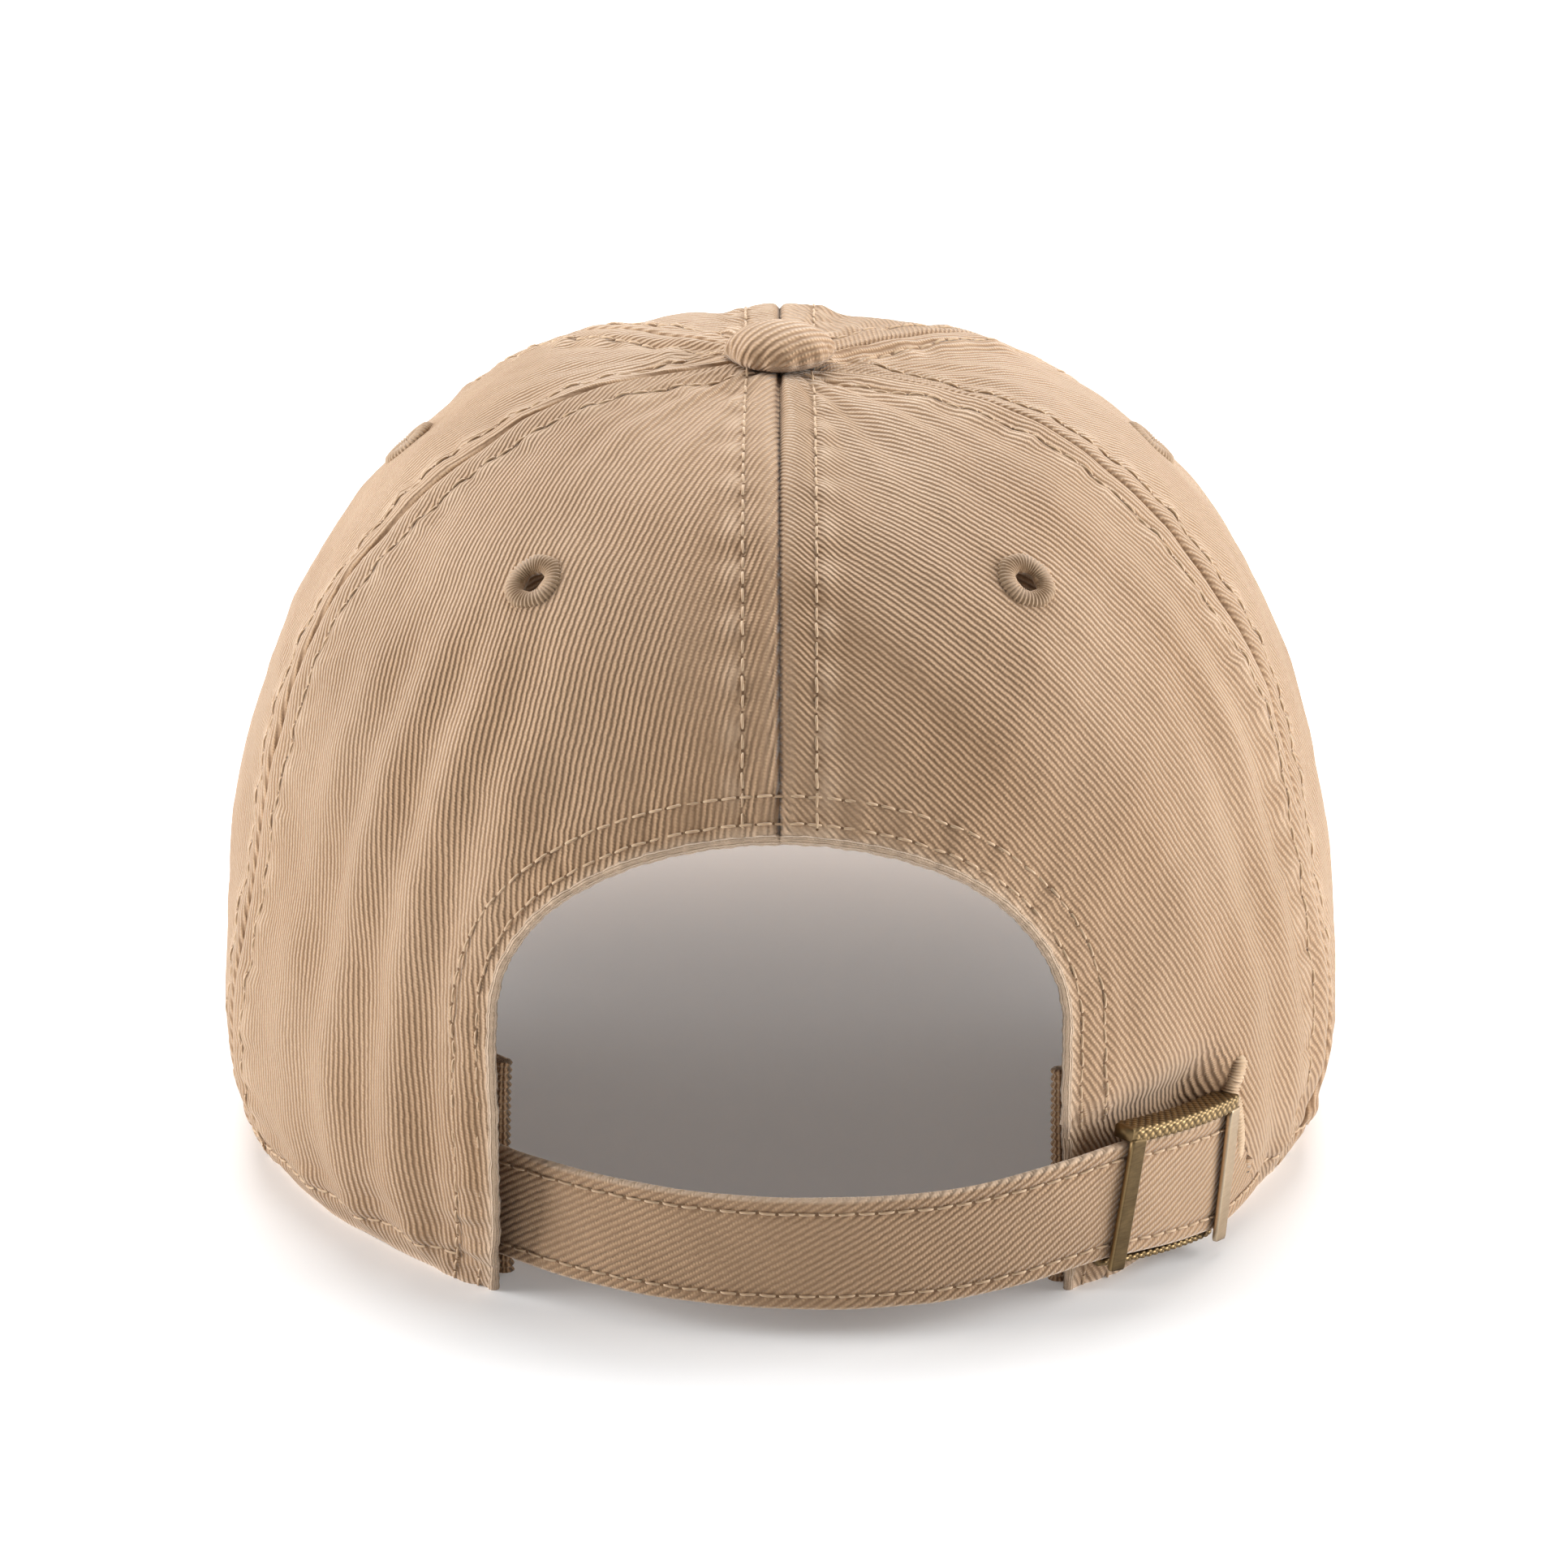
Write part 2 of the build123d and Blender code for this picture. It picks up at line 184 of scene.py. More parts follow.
@dataclass(frozen=True)
class Twill:
    """Cotton twill: diagonal wales of fine yarns, washed soft and pale at its worn edges."""
    name: str = "washed_twill"
    ridge: tuple = srgb(182, 148, 114)
    groove: tuple = srgb(96, 65, 41)
    worn: tuple = srgb(212, 186, 160)
    pitch: float = 0.096
    yarn: float = 0.050
    relief: float = 0.00030
    contrast: float = 0.85

    def make(self) -> bpy.types.Material:
        """Returns: the cloth's material."""
        n = Nodes(self.name)
        uv, place = n.uv(), n.object_place()
        across, along = n.split(uv)
        sway = n.math("MULTIPLY", n.math("SUBTRACT", n.noise(uv, 0.55, 2.0), 0.5), 0.07)
        fine_sway = n.math("MULTIPLY", n.math("SUBTRACT", n.noise(uv, 9.0, 2.0), 0.5), 0.035)
        phase = n.math("DIVIDE", n.math("ADD", n.math("ADD", across, sway), fine_sway), self.pitch)
        wale = n.math("MULTIPLY_ADD", n.math("SINE", n.math("MULTIPLY", phase, TAU)), 0.5, 0.5)
        turn = n.math("MULTIPLY_ADD", along, 1 / self.yarn, n.math("MULTIPLY", phase, 0.5))
        yarns = n.math("MULTIPLY_ADD", n.math("SINE", n.math("MULTIPLY", turn, TAU)), 0.5, 0.5)
        slub = n.noise(n.stretch(uv, (26.0, 7.0, 1.0)), 1.0, 3.0, 0.6)
        fuzz = n.noise(place, 2600.0, 2.0, 0.7)
        body = n.math("ADD", n.math("MULTIPLY", wale, 0.72), n.math("MULTIPLY", n.math("MULTIPLY", yarns, wale), 0.26))
        height = n.math("ADD", body, n.math("MULTIPLY", n.math("ADD", slub, fuzz), 0.16))
        worn = n.math("MULTIPLY", n.attribute("worn"), n.math("MULTIPLY_ADD", slub, 0.9, 0.35), clamp=True)
        flat = n.math("SUBTRACT", 1.0, n.math("MULTIPLY", worn, 0.55))
        depth = n.math("POWER", n.math("MULTIPLY_ADD", body, 0.9, n.math("MULTIPLY", slub, 0.22), clamp=True), 0.62)
        shade = n.math("SUBTRACT", 1.0, n.math("MULTIPLY", n.math("SUBTRACT", 1.0, depth),
                                                n.math("MULTIPLY", flat, self.contrast)))
        colour = n.mix(shade, self.groove, self.ridge)
        colour = n.mix(worn, colour, self.worn)
        blotch = n.math("MULTIPLY_ADD", n.noise(place, 28.0, 4.0, 0.6), 0.22, 0.89)
        speck = n.math("MULTIPLY_ADD", fuzz, 0.22, 0.89)
        tone = n.tree.nodes.new("ShaderNodeCombineXYZ")
        lift = n.math("MULTIPLY", blotch, speck)
        for socket in tone.inputs:
            n.link(lift, socket)
        colour = n.mix(1.0, colour, tone.outputs[0], "MULTIPLY")
        n.link(colour, n.shader.inputs["Base Color"])
        n.shader.inputs["Roughness"].default_value = 0.93
        n.shader.inputs["Specular IOR Level"].default_value = 0.18
        n.shader.inputs["Sheen Weight"].default_value = 0.42
        n.shader.inputs["Sheen Roughness"].default_value = 0.45
        n.shader.inputs["Sheen Tint"].default_value = srgb(255, 250, 242)
        n.bump(height, 0.9, self.relief)
        return n.material


@dataclass(frozen=True)
class Thread:
    """Twisted sewing thread with a soft lustre."""
    name: str
    light: tuple
    dark: tuple
    twist: float = 5.0

    def make(self) -> bpy.types.Material:
        """Returns: the thread's material."""
        n = Nodes(self.name)
        across, along = n.split(n.uv())
        lay = n.math("ADD", n.math("MULTIPLY", along, self.twist), across)
        strand = n.math("MULTIPLY_ADD", n.math("SINE", n.math("MULTIPLY", lay, TAU)), 0.5, 0.5)
        fray = n.noise(n.object_place(), 1500.0, 2.0, 0.6)
        level = n.math("MULTIPLY_ADD", strand, 0.6, n.math("MULTIPLY", fray, 0.45), clamp=True)
        n.link(n.mix(level, self.dark, self.light), n.shader.inputs["Base Color"])
        n.shader.inputs["Roughness"].default_value = 0.62
        n.shader.inputs["Sheen Weight"].default_value = 0.25
        n.bump(level, 0.8, 0.00012)
        return n.material


@dataclass(frozen=True)
class AntiqueBrass:
    """Plated brass, rubbed bright on the high places and dark in the low ones."""
    name: str = "antique_brass"
    bright: tuple = srgb(164, 138, 98)
    dark: tuple = srgb(40, 31, 21)
    roughness: float = 0.36
    wear: float = 1.0

    def make(self) -> bpy.types.Material:
        """Returns: the metal's material."""
        n = Nodes(self.name)
        place = n.object_place()
        cloud = n.noise(place, 260.0, 4.0, 0.65)
        scratch = n.noise(n.stretch(place, (300.0, 300.0, 2600.0)), 1.0, 3.0, 0.7)
        rubbed = n.math("MULTIPLY", n.attribute("rubbed"), self.wear)
        level = n.math("ADD", n.math("MULTIPLY", rubbed, 0.72), n.math("MULTIPLY", cloud, 0.30))
        level = n.math("ADD", level, n.math("MULTIPLY_ADD", scratch, 0.34, -0.22), clamp=True)
        n.link(n.mix(level, self.dark, self.bright), n.shader.inputs["Base Color"])
        n.shader.inputs["Metallic"].default_value = 1.0
        rough = n.math("MULTIPLY_ADD", n.math("SUBTRACT", 1.0, level), 0.25, self.roughness)
        n.link(rough, n.shader.inputs["Roughness"])
        n.bump(n.math("ADD", scratch, cloud), 0.35, 0.00008)
        return n.material


@dataclass(frozen=True)
class Plain:
    """Evenly made material with a fine grain: board, plated steel, tape or a studio floor."""
    name: str
    light: tuple
    dark: tuple
    grain: float
    roughness: float = 0.6
    metallic: float = 0.0

    def make(self) -> bpy.types.Material:
        """Returns: the material."""
        n = Nodes(self.name)
        grain = n.noise(n.object_place(), self.grain, 3.0, 0.6)
        n.link(n.mix(grain, self.dark, self.light), n.shader.inputs["Base Color"])
        n.shader.inputs["Roughness"].default_value = self.roughness
        n.shader.inputs["Metallic"].default_value = self.metallic
        n.bump(grain, 0.25, 0.00006)
        return n.material


class Cloth(Enum):
    """Which way the wales run on a piece, in degrees from its length, anticlockwise seen from outside."""
    BACK_LEFT = 7.0
    BACK_RIGHT = 34.0
    SIDE = 24.0
    FRONT = 45.0
    STRAP = -122.0
    BAND = 90.0


# ---------------------------------------------------------------------------
# Form
# ---------------------------------------------------------------------------
@dataclass
class CrownForm:
    """The crown's outer surface, in metres, around the button's axis."""
    half_width: float = 86.5 * MM
    ratio: float = 1.14
    top: float = 121.0 * MM
    widest: float = 19.0 * MM
    tuck: float = 6.0 * MM
    radius_power: float = 0.76
    height_power: float = 0.87
    axis_y: float = 0.0
    arch_half: float = 42.0 * MM
    arch_side: float = 44.0 * MM
    arch_top: float = 74.5 * MM
    visor_radius: float = 110.0 * MM
    visor_slope: float = 0.12
    visor_seam_y: float = 90.0 * MM
    visor_seam_z: float = 35.2 * MM
    ease_y: float = 20.0 * MM
    ease_z: float = 4.6 * MM
    strap_x: float = 6.6 * MM
    strap_y: float = -28.9 * MM
    strap_r: float = 68.0 * MM
    dent_r: float = 61.9 * MM

    def profile(self, t: np.ndarray) -> tuple[np.ndarray, np.ndarray]:
        """Radius and height at t, from -1 at the hem to 1 at the top."""
        turn = np.clip(t, 0, 1) * math.pi / 2
        radius = self.half_width * np.maximum(np.cos(turn), 0) ** self.radius_power
        height = self.widest + (self.top - self.widest) * np.sin(turn) ** self.height_power
        low = t < 0
        radius = np.where(low, self.half_width - self.tuck * t * t, radius)
        height = np.where(low, self.widest * (1 + t), height)
        return radius, height

    def base(self, angle: np.ndarray, t: np.ndarray) -> np.ndarray:
        """Smooth surface points; angle in radians in round space."""
        radius, height = self.profile(t)
        x = radius * np.cos(angle)
        y = self.ratio * radius * np.sin(angle)
        return np.stack([x, y, height + 0 * angle], -1)

    def press(self, points: np.ndarray) -> np.ndarray:
        """Press the soft wall in behind the buckle.

        Args:
            points: surface points, with the button's axis at x = y = 0.

        Returns:
            The points, moved in towards the strap's axis where the buckle sits.
        """
        dx, dy = points[..., 0] - self.strap_x, points[..., 1] - self.strap_y
        radius = np.hypot(dx, dy)
        turn = np.degrees(np.arctan2(dy, dx))
        rise = np.maximum(points[..., 2] - 25 * MM, 0.0) * 0.75
        limit = self.dent_r + rise + 14 * MM * smooth(-33.0, -19.0, turn) + 60 * MM * smooth(-12.0, 0.0, turn)
        limit = limit + 90 * MM * (1 - smooth(-84.0, -66.0, turn)) * (turn < -40)
        behind = (points[..., 1] < -20 * MM) & (points[..., 0] > 10 * MM)
        soft = 1.2 * MM
        gap = (radius - limit) / soft
        new = radius - soft * np.where(gap > 30, gap, np.log1p(np.exp(np.clip(gap, -40, 30))))
        scale = np.where(behind, new / np.maximum(radius, 1e-6), 1.0)
        out = points.copy()
        out[..., 0] = self.strap_x + dx * scale
        out[..., 1] = self.strap_y + dy * scale
        return out

    def visor_top(self, x: np.ndarray, y: np.ndarray) -> np.ndarray:
        """Height of the visor's upper surface."""
        lift = -self.visor_slope * (y - self.visor_seam_y)
        bend = np.sqrt(np.maximum(self.visor_radius ** 2 - x * x, 0))
        return self.visor_seam_z - self.visor_radius + lift + bend * 1.0

    def hem(self, x: np.ndarray, y: np.ndarray) -> np.ndarray:
        """Height of the hem: flat behind, easing up to the visor in front."""
        ease = self.ease_z * np.clip((y + self.ease_y) / (2 * self.ease_y), 0, 1)
        front = self.visor_top(x, y) + 0.3 * MM
        blend = smooth(self.ease_y - 6 * MM, self.ease_y + 6 * MM, y)
        return np.maximum(ease * (1 - blend) + front * blend, 0.0)

    def arch_distance(self, x: np.ndarray, z: np.ndarray) -> np.ndarray:
        """Distance outside the half-moon opening's edge, in x and z; negative inside."""
        up = np.maximum(z - self.arch_side, 0.0)
        rise = self.arch_top - self.arch_side
        scaled = np.sqrt((x / self.arch_half) ** 2 + (up / rise) ** 2)
        slope = np.sqrt((x / self.arch_half ** 2) ** 2 + (up / rise ** 2) ** 2) / np.maximum(scaled, 1e-6)
        return (scaled - 1) / np.maximum(slope, 1e-3)

    def normals(self, points: np.ndarray) -> np.ndarray:
        """Outward normals of a grid of points, rows up the crown and columns around it."""
        up = np.gradient(points, axis=0)
        around = np.gradient(points, axis=1)
        cross = np.cross(around, up)
        size = np.linalg.norm(cross, axis=-1, keepdims=True)
        return cross / np.maximum(size, 1e-12)


SEAMS = {"centre_back": -90.0, "right_back": -17.0, "right_front": 40.0,
         "centre_front": 90.0, "left_front": 140.0, "left_back": 197.0}
PANELS = {"back_right": (-90.0, -17.0, Cloth.BACK_RIGHT), "side_right": (-17.0, 40.0, Cloth.SIDE),
          "front_right": (40.0, 90.0, Cloth.FRONT), "front_left": (90.0, 140.0, Cloth.FRONT),
          "side_left": (140.0, 197.0, Cloth.SIDE), "back_left": (197.0, 270.0, Cloth.BACK_LEFT)}
EYELETS = {"back_right": -52.0, "side_right": 12.0, "front_right": 65.0,
           "front_left": 115.0, "side_left": 168.0, "back_left": 232.0}
EYELET_Z = 102.5 * MM
EYELET_HOLE = 2.0 * MM
SEAM_ROW = 5.4 * MM
HEM_ROW = 5.0 * MM
ARCH_ROWS = (2.4 * MM, 6.0 * MM)
TOP_T = 0.9985
STITCH_PITCH = 2.9 * MM


@dataclass
class Crown(CrownForm):
    """The crown's surface with its seams, turned edges, puckers and soft folds."""
    arc_t: np.ndarray = field(default_factory=lambda: np.linspace(-1, 1, 1200))
    arc_s: np.ndarray = field(default_factory=lambda: np.zeros(1200))

    def __post_init__(self) -> None:
        radius, height = self.profile(self.arc_t)
        step = np.hypot(np.diff(radius), np.diff(height))
        self.arc_s = np.concatenate([[0.0], np.cumsum(step)])

    def arc(self, t: np.ndarray) -> np.ndarray:
        """Length up the profile from the hem."""
        return np.interp(t, self.arc_t, self.arc_s)

    def t_at_height(self, z: np.ndarray) -> np.ndarray:
        """Profile parameter at a height."""
        return np.interp(z, self.profile(self.arc_t)[1], self.arc_t)

    def speed(self, angle: np.ndarray) -> np.ndarray:
        """Surface length per radian over radius."""
        return np.hypot(np.sin(angle), self.ratio * np.cos(angle))

    def seam_distance(self, angle: np.ndarray, t: np.ndarray, seam: float) -> np.ndarray:
        """Signed distance from a seam, to the right seen from outside."""
        delta = (angle - math.radians(seam) + math.pi) % TAU - math.pi
        return delta * self.profile(t)[0] * self.speed(angle)

    def hem_t(self, angle: np.ndarray) -> np.ndarray:
        """Profile parameter of the hem line at each angle."""
        t = np.full_like(angle, -1.0)
        for _ in range(6):
            point = self.base(angle, t)
            t = self.t_at_height(self.hem(point[..., 0], point[..., 1]))
        return t

    def relief(self, angle: np.ndarray, t: np.ndarray, p: np.ndarray) -> np.ndarray:
        """How far the cloth stands out from the smooth surface."""
        x, y, z = p[..., 0], p[..., 1], p[..., 2]
        s = self.arc(t)
        total = 0.85 * MM * ripple(x, y, z, 0.075, 0.4) + 0.36 * MM * ripple(x, y, z, 0.031, 2.0)
        total = total + 0.14 * MM * ripple(x, y, z, 0.012, 5.0)
        total = total - 1.4 * MM * smooth(0.6, 0.92, t)
        fade_top = 1 - smooth(0.985, 0.999, t)
        pad, nearest, ridge = np.zeros_like(s), np.full_like(s, 1.0), np.zeros_like(s)
        for index, seam in enumerate(SEAMS.values()):
            d = np.abs(self.seam_distance(angle, t, seam))
            wander = 1.4 * np.sin(s / (17 * MM) + index) + 0.8 * np.sin(s / (7.7 * MM) + 2 * index)
            pucker = np.sin(TAU * s / (8.2 * MM) + wander) + 0.5 * np.sin(TAU * s / (4.9 * MM) + 2 * wander)
            pad = np.maximum(pad, 1 - smooth(5.2 * MM, 9.5 * MM, d))
            nearest = np.minimum(nearest, d)
            ridge = ridge + pucker * bell(d, SEAM_ROW + 1.2 * MM, 3.6 * MM)
        total = total + 0.55 * MM * pad * (1 - 0.85 * smooth(0.82, 0.98, t)) + fade_top * (
            0.25 * MM * bell(nearest, 2.0 * MM, 1.6 * MM) - 0.75 * MM * bell(nearest, 0.0, 0.42 * MM)
            - 0.34 * MM * bell(nearest, SEAM_ROW, 0.8 * MM) + 0.24 * MM * ridge)
        gather = 0.6 * np.sin(13 * angle + 0.8) + 0.5 * np.sin(22 * angle + 2.1) + 0.35 * np.sin(37 * angle)
        total = total + 0.34 * MM * gather * smooth(0.62, 0.9, t) * (1 - smooth(0.95, 0.995, t))
        turn = np.degrees(angle)
        folds = np.sin(TAU * turn / 9.5 + 1.5 * np.sin(z / (22 * MM))) * bell(turn, 226.0, 15.0)
        folds = folds + 0.7 * np.sin(TAU * turn / 8.3 + z / (15 * MM)) * bell(turn, -24.0, 12.0)
        total = total + 0.95 * MM * folds * (1 - smooth(0.25, 0.62, t)) * smooth(-1.0, -0.6, t)
        sag = bell(turn, 214.0, 20.0) * bell(z, 52 * MM, 16 * MM) + bell(turn, -33.0, 18.0) * bell(z, 58 * MM, 16 * MM)
        total = total - 2.0 * MM * sag
        behind = y < -20 * MM
        d = self.arch_distance(x, z)
        along = np.arctan2(x, z - 20 * MM) * 50
        tug = np.sin(TAU * along / 5.2 + 2 * np.sin(along / 6)) + 0.6 * np.sin(TAU * along / 3.1)
        edge = 0.5 * MM * (1 - smooth(7.0 * MM, 9.5 * MM, d)) + 0.16 * MM * tug * bell(d, 4.2 * MM, 3.6 * MM)
        for row in ARCH_ROWS:
            edge = edge - 0.3 * MM * bell(d, row, 0.7 * MM)
        total = total + np.where(behind, edge, 0.0)
        high = z - self.hem(x, y)
        total = total + 0.5 * MM * (1 - smooth(7 * MM, 9.5 * MM, high)) - 0.32 * MM * bell(high, HEM_ROW, 0.8 * MM)
        tug = np.sin(TAU * angle * 87 / 6.3 + np.sin(angle * 9))
        total = total + 0.18 * MM * tug * bell(high, HEM_ROW + MM, 3.2 * MM)
        return total

    def worn(self, angle: np.ndarray, t: np.ndarray, p: np.ndarray) -> np.ndarray:
        """Where the cloth is rubbed pale, 0 to 1."""
        x, y, z = p[..., 0], p[..., 1], p[..., 2]
        s = self.arc(t)
        total = 0.10 + 0.10 * ripple(x, y, z, 0.05, 1.0)
        for seam in SEAMS.values():
            d = np.abs(self.seam_distance(angle, t, seam))
            total = total + 0.12 * bell(d, 1.3 * MM, 0.9 * MM)
            total = total + 0.16 * (1 + np.sin(TAU * s / (8.2 * MM))) * bell(d, SEAM_ROW + 1.5 * MM, 1.6 * MM)
        total = total + np.where(y < -20 * MM, 0.95 * (1 - smooth(0.0, 2.0 * MM, self.arch_distance(x, z))), 0.0)
        high = z - self.hem(x, y)
        return np.clip(total + 0.9 * (1 - smooth(0.0, 1.8 * MM, high)), 0, 1)

    def plain(self, angle: np.ndarray, t: np.ndarray) -> np.ndarray:
        """Surface before its relief."""
        return self.press(self.base(angle, t))

    def frame_at(self, angle: np.ndarray, t: np.ndarray, depth: float = 0.0) -> tuple[np.ndarray, np.ndarray]:
        """Dressed surface points, depth below the outside, and their outward normals."""
        step = 1e-3
        point = self.plain(angle, t)
        around = self.plain(angle + step, t) - self.plain(angle - step, t)
        up = self.plain(angle, t + step) - self.plain(angle, t - step)
        normal = np.cross(around, up)
        normal = normal / np.maximum(np.linalg.norm(normal, axis=-1, keepdims=True), 1e-12)
        lift = self.relief(angle, t, point) - depth
        placed = point + normal * lift[..., None]
        placed[..., 1] += self.axis_y
        return placed, normal


# ---------------------------------------------------------------------------
# Mesh helpers
# ---------------------------------------------------------------------------
def select_only(obj: bpy.types.Object) -> None:
    """Make this the one selected, active object."""
    bpy.ops.object.select_all(action="DESELECT")
    obj.select_set(True)
    bpy.context.view_layer.objects.active = obj


def set_cloth(obj: bpy.types.Object, uv: np.ndarray, worn: np.ndarray | None = None) -> None:
    """Store cloth coordinates (per vertex, centimetres) and wear on a mesh."""
    mesh = obj.data
    while mesh.uv_layers:
        mesh.uv_layers.remove(mesh.uv_layers[0])
    layer = mesh.uv_layers.new(name="cloth")
    index = np.empty(len(mesh.loops), np.int32)
    mesh.loops.foreach_get("vertex_index", index)
    layer.data.foreach_set("uv", uv[index].astype(np.float32).ravel())
    if worn is not None:
        mesh.attributes.new("worn", "FLOAT", "POINT").data.foreach_set("value", worn.astype(np.float32).ravel())


def grid(name: str, columns: int, rows: int) -> tuple[bpy.types.Object, np.ndarray, np.ndarray]:
    """A flat grid to be shaped.

    Args:
        name: the object's name.
        columns: faces across.
        rows: faces up.

    Returns:
        The object and each vertex's place across and up, 0 to 1.
    """
    bpy.ops.object.select_all(action="DESELECT")
    bpy.ops.mesh.primitive_grid_add(x_subdivisions=columns, y_subdivisions=rows, size=2)
    obj = bpy.context.object
    obj.name = obj.data.name = name
    flat = np.empty(len(obj.data.vertices) * 3, np.float32)
    obj.data.vertices.foreach_get("co", flat)
    flat = flat.reshape(-1, 3).astype(float)
    return obj, (flat[:, 0] + 1) / 2, (flat[:, 1] + 1) / 2


def move_to(obj: bpy.types.Object, points: np.ndarray) -> None:
    """Put every vertex at its point."""
    obj.data.vertices.foreach_set("co", points.astype(np.float32).ravel())
    obj.data.update()


def cut_faces(obj: bpy.types.Object, drop: np.ndarray) -> None:
    """Delete the faces marked in drop."""
    if not drop.any():
        return
    select_only(obj)
    bpy.ops.object.mode_set(mode="EDIT")
    bpy.ops.mesh.select_mode(type="FACE")
    bpy.ops.mesh.select_all(action="DESELECT")
    bpy.ops.object.mode_set(mode="OBJECT")
    obj.data.polygons.foreach_set("select", drop)
    bpy.ops.object.mode_set(mode="EDIT")
    bpy.ops.mesh.delete(type="FACE")
    bpy.ops.object.mode_set(mode="OBJECT")


def thicken(obj: bpy.types.Object, thickness: float) -> None:
    """Give a surface its thickness, inwards."""
    select_only(obj)
    bpy.ops.object.shade_smooth()
    modifier = obj.modifiers.new("thickness", "SOLIDIFY")
    modifier.thickness = thickness
    modifier.offset = -1.0
    modifier.use_even_offset = False
    bpy.ops.object.modifier_apply(modifier=modifier.name)


def built(name: str, points: np.ndarray, faces: Sequence, uv: np.ndarray | None = None) -> bpy.types.Object:
    """Mesh from points and faces, for swept and scattered shapes."""
    mesh = bpy.data.meshes.new(name)
    mesh.from_pydata(points.reshape(-1, 3).tolist(), [], faces)
    obj = bpy.data.objects.new(name, mesh)
    bpy.context.scene.collection.objects.link(obj)
    mesh.update()
    set_cloth(obj, uv if uv is not None else np.zeros((len(mesh.vertices), 2)))
    select_only(obj)
    bpy.ops.object.shade_smooth()
    return obj


def swept(name: str, rings: np.ndarray, loop: bool = False, cap: bool = True) -> bpy.types.Object:
    """Skin over closed rings, given as rings x points x 3.

    Args:
        name: the object's name.
        rings: points of each ring, anticlockwise seen against the path.
        loop: whether the last ring joins the first.
        cap: whether open ends are closed.

    Returns:
        The object.
    """
    count, around = rings.shape[:2]
    faces = []
    for i in range(count if loop else count - 1):
        a, b = i * around, ((i + 1) % count) * around
        faces += [(a + j, a + (j + 1) % around, b + (j + 1) % around, b + j) for j in range(around)]
    if cap and not loop:
        faces.append(tuple(reversed(range(around))))
        faces.append(tuple(range((count - 1) * around, count * around)))
    step = np.linalg.norm(np.diff(rings[:, 0], axis=0), axis=-1)
    along = np.concatenate([[0.0], np.cumsum(step)]) * 100
    uv = np.stack(np.broadcast_arrays(np.linspace(0, 1, around)[None, :], along[:, None]), -1).reshape(-1, 2)
    return built(name, rings, faces, uv)


def unit(vector: np.ndarray) -> np.ndarray:
    """Vectors at length 1."""
    return vector / np.maximum(np.linalg.norm(vector, axis=-1, keepdims=True), 1e-12)


def round_rings(path: np.ndarray, normal: np.ndarray, radius: np.ndarray | float, around: int = 10,
                flat: float = 1.0) -> np.ndarray:
    """Rings of a round section along a path."""
    tangent = unit(np.gradient(path, axis=0))
    normal = unit(normal - tangent * np.sum(normal * tangent, -1, keepdims=True))
    side = np.cross(normal, tangent)
    theta = np.linspace(0, TAU, around, endpoint=False)
    radius = np.broadcast_to(radius, path.shape[:1])[:, None, None]
    ring = -side[:, None] * np.cos(theta)[None, :, None] + normal[:, None] * np.sin(theta)[None, :, None] * flat
    return path[:, None] + ring * radius


def even(path: np.ndarray, pitch: float, extra: Sequence[np.ndarray] = ()) -> list[np.ndarray]:
    """Path and its companions resampled at an even pitch."""
    run = np.concatenate([[0.0], np.cumsum(np.linalg.norm(np.diff(path, axis=0), axis=-1))])
    count = max(int(run[-1] / pitch), 2)
    at = (np.arange(count) + 0.5) * run[-1] / count
    return [np.stack([np.interp(at, run, a[:, k]) for k in range(3)], -1) for a in (path, *extra)]


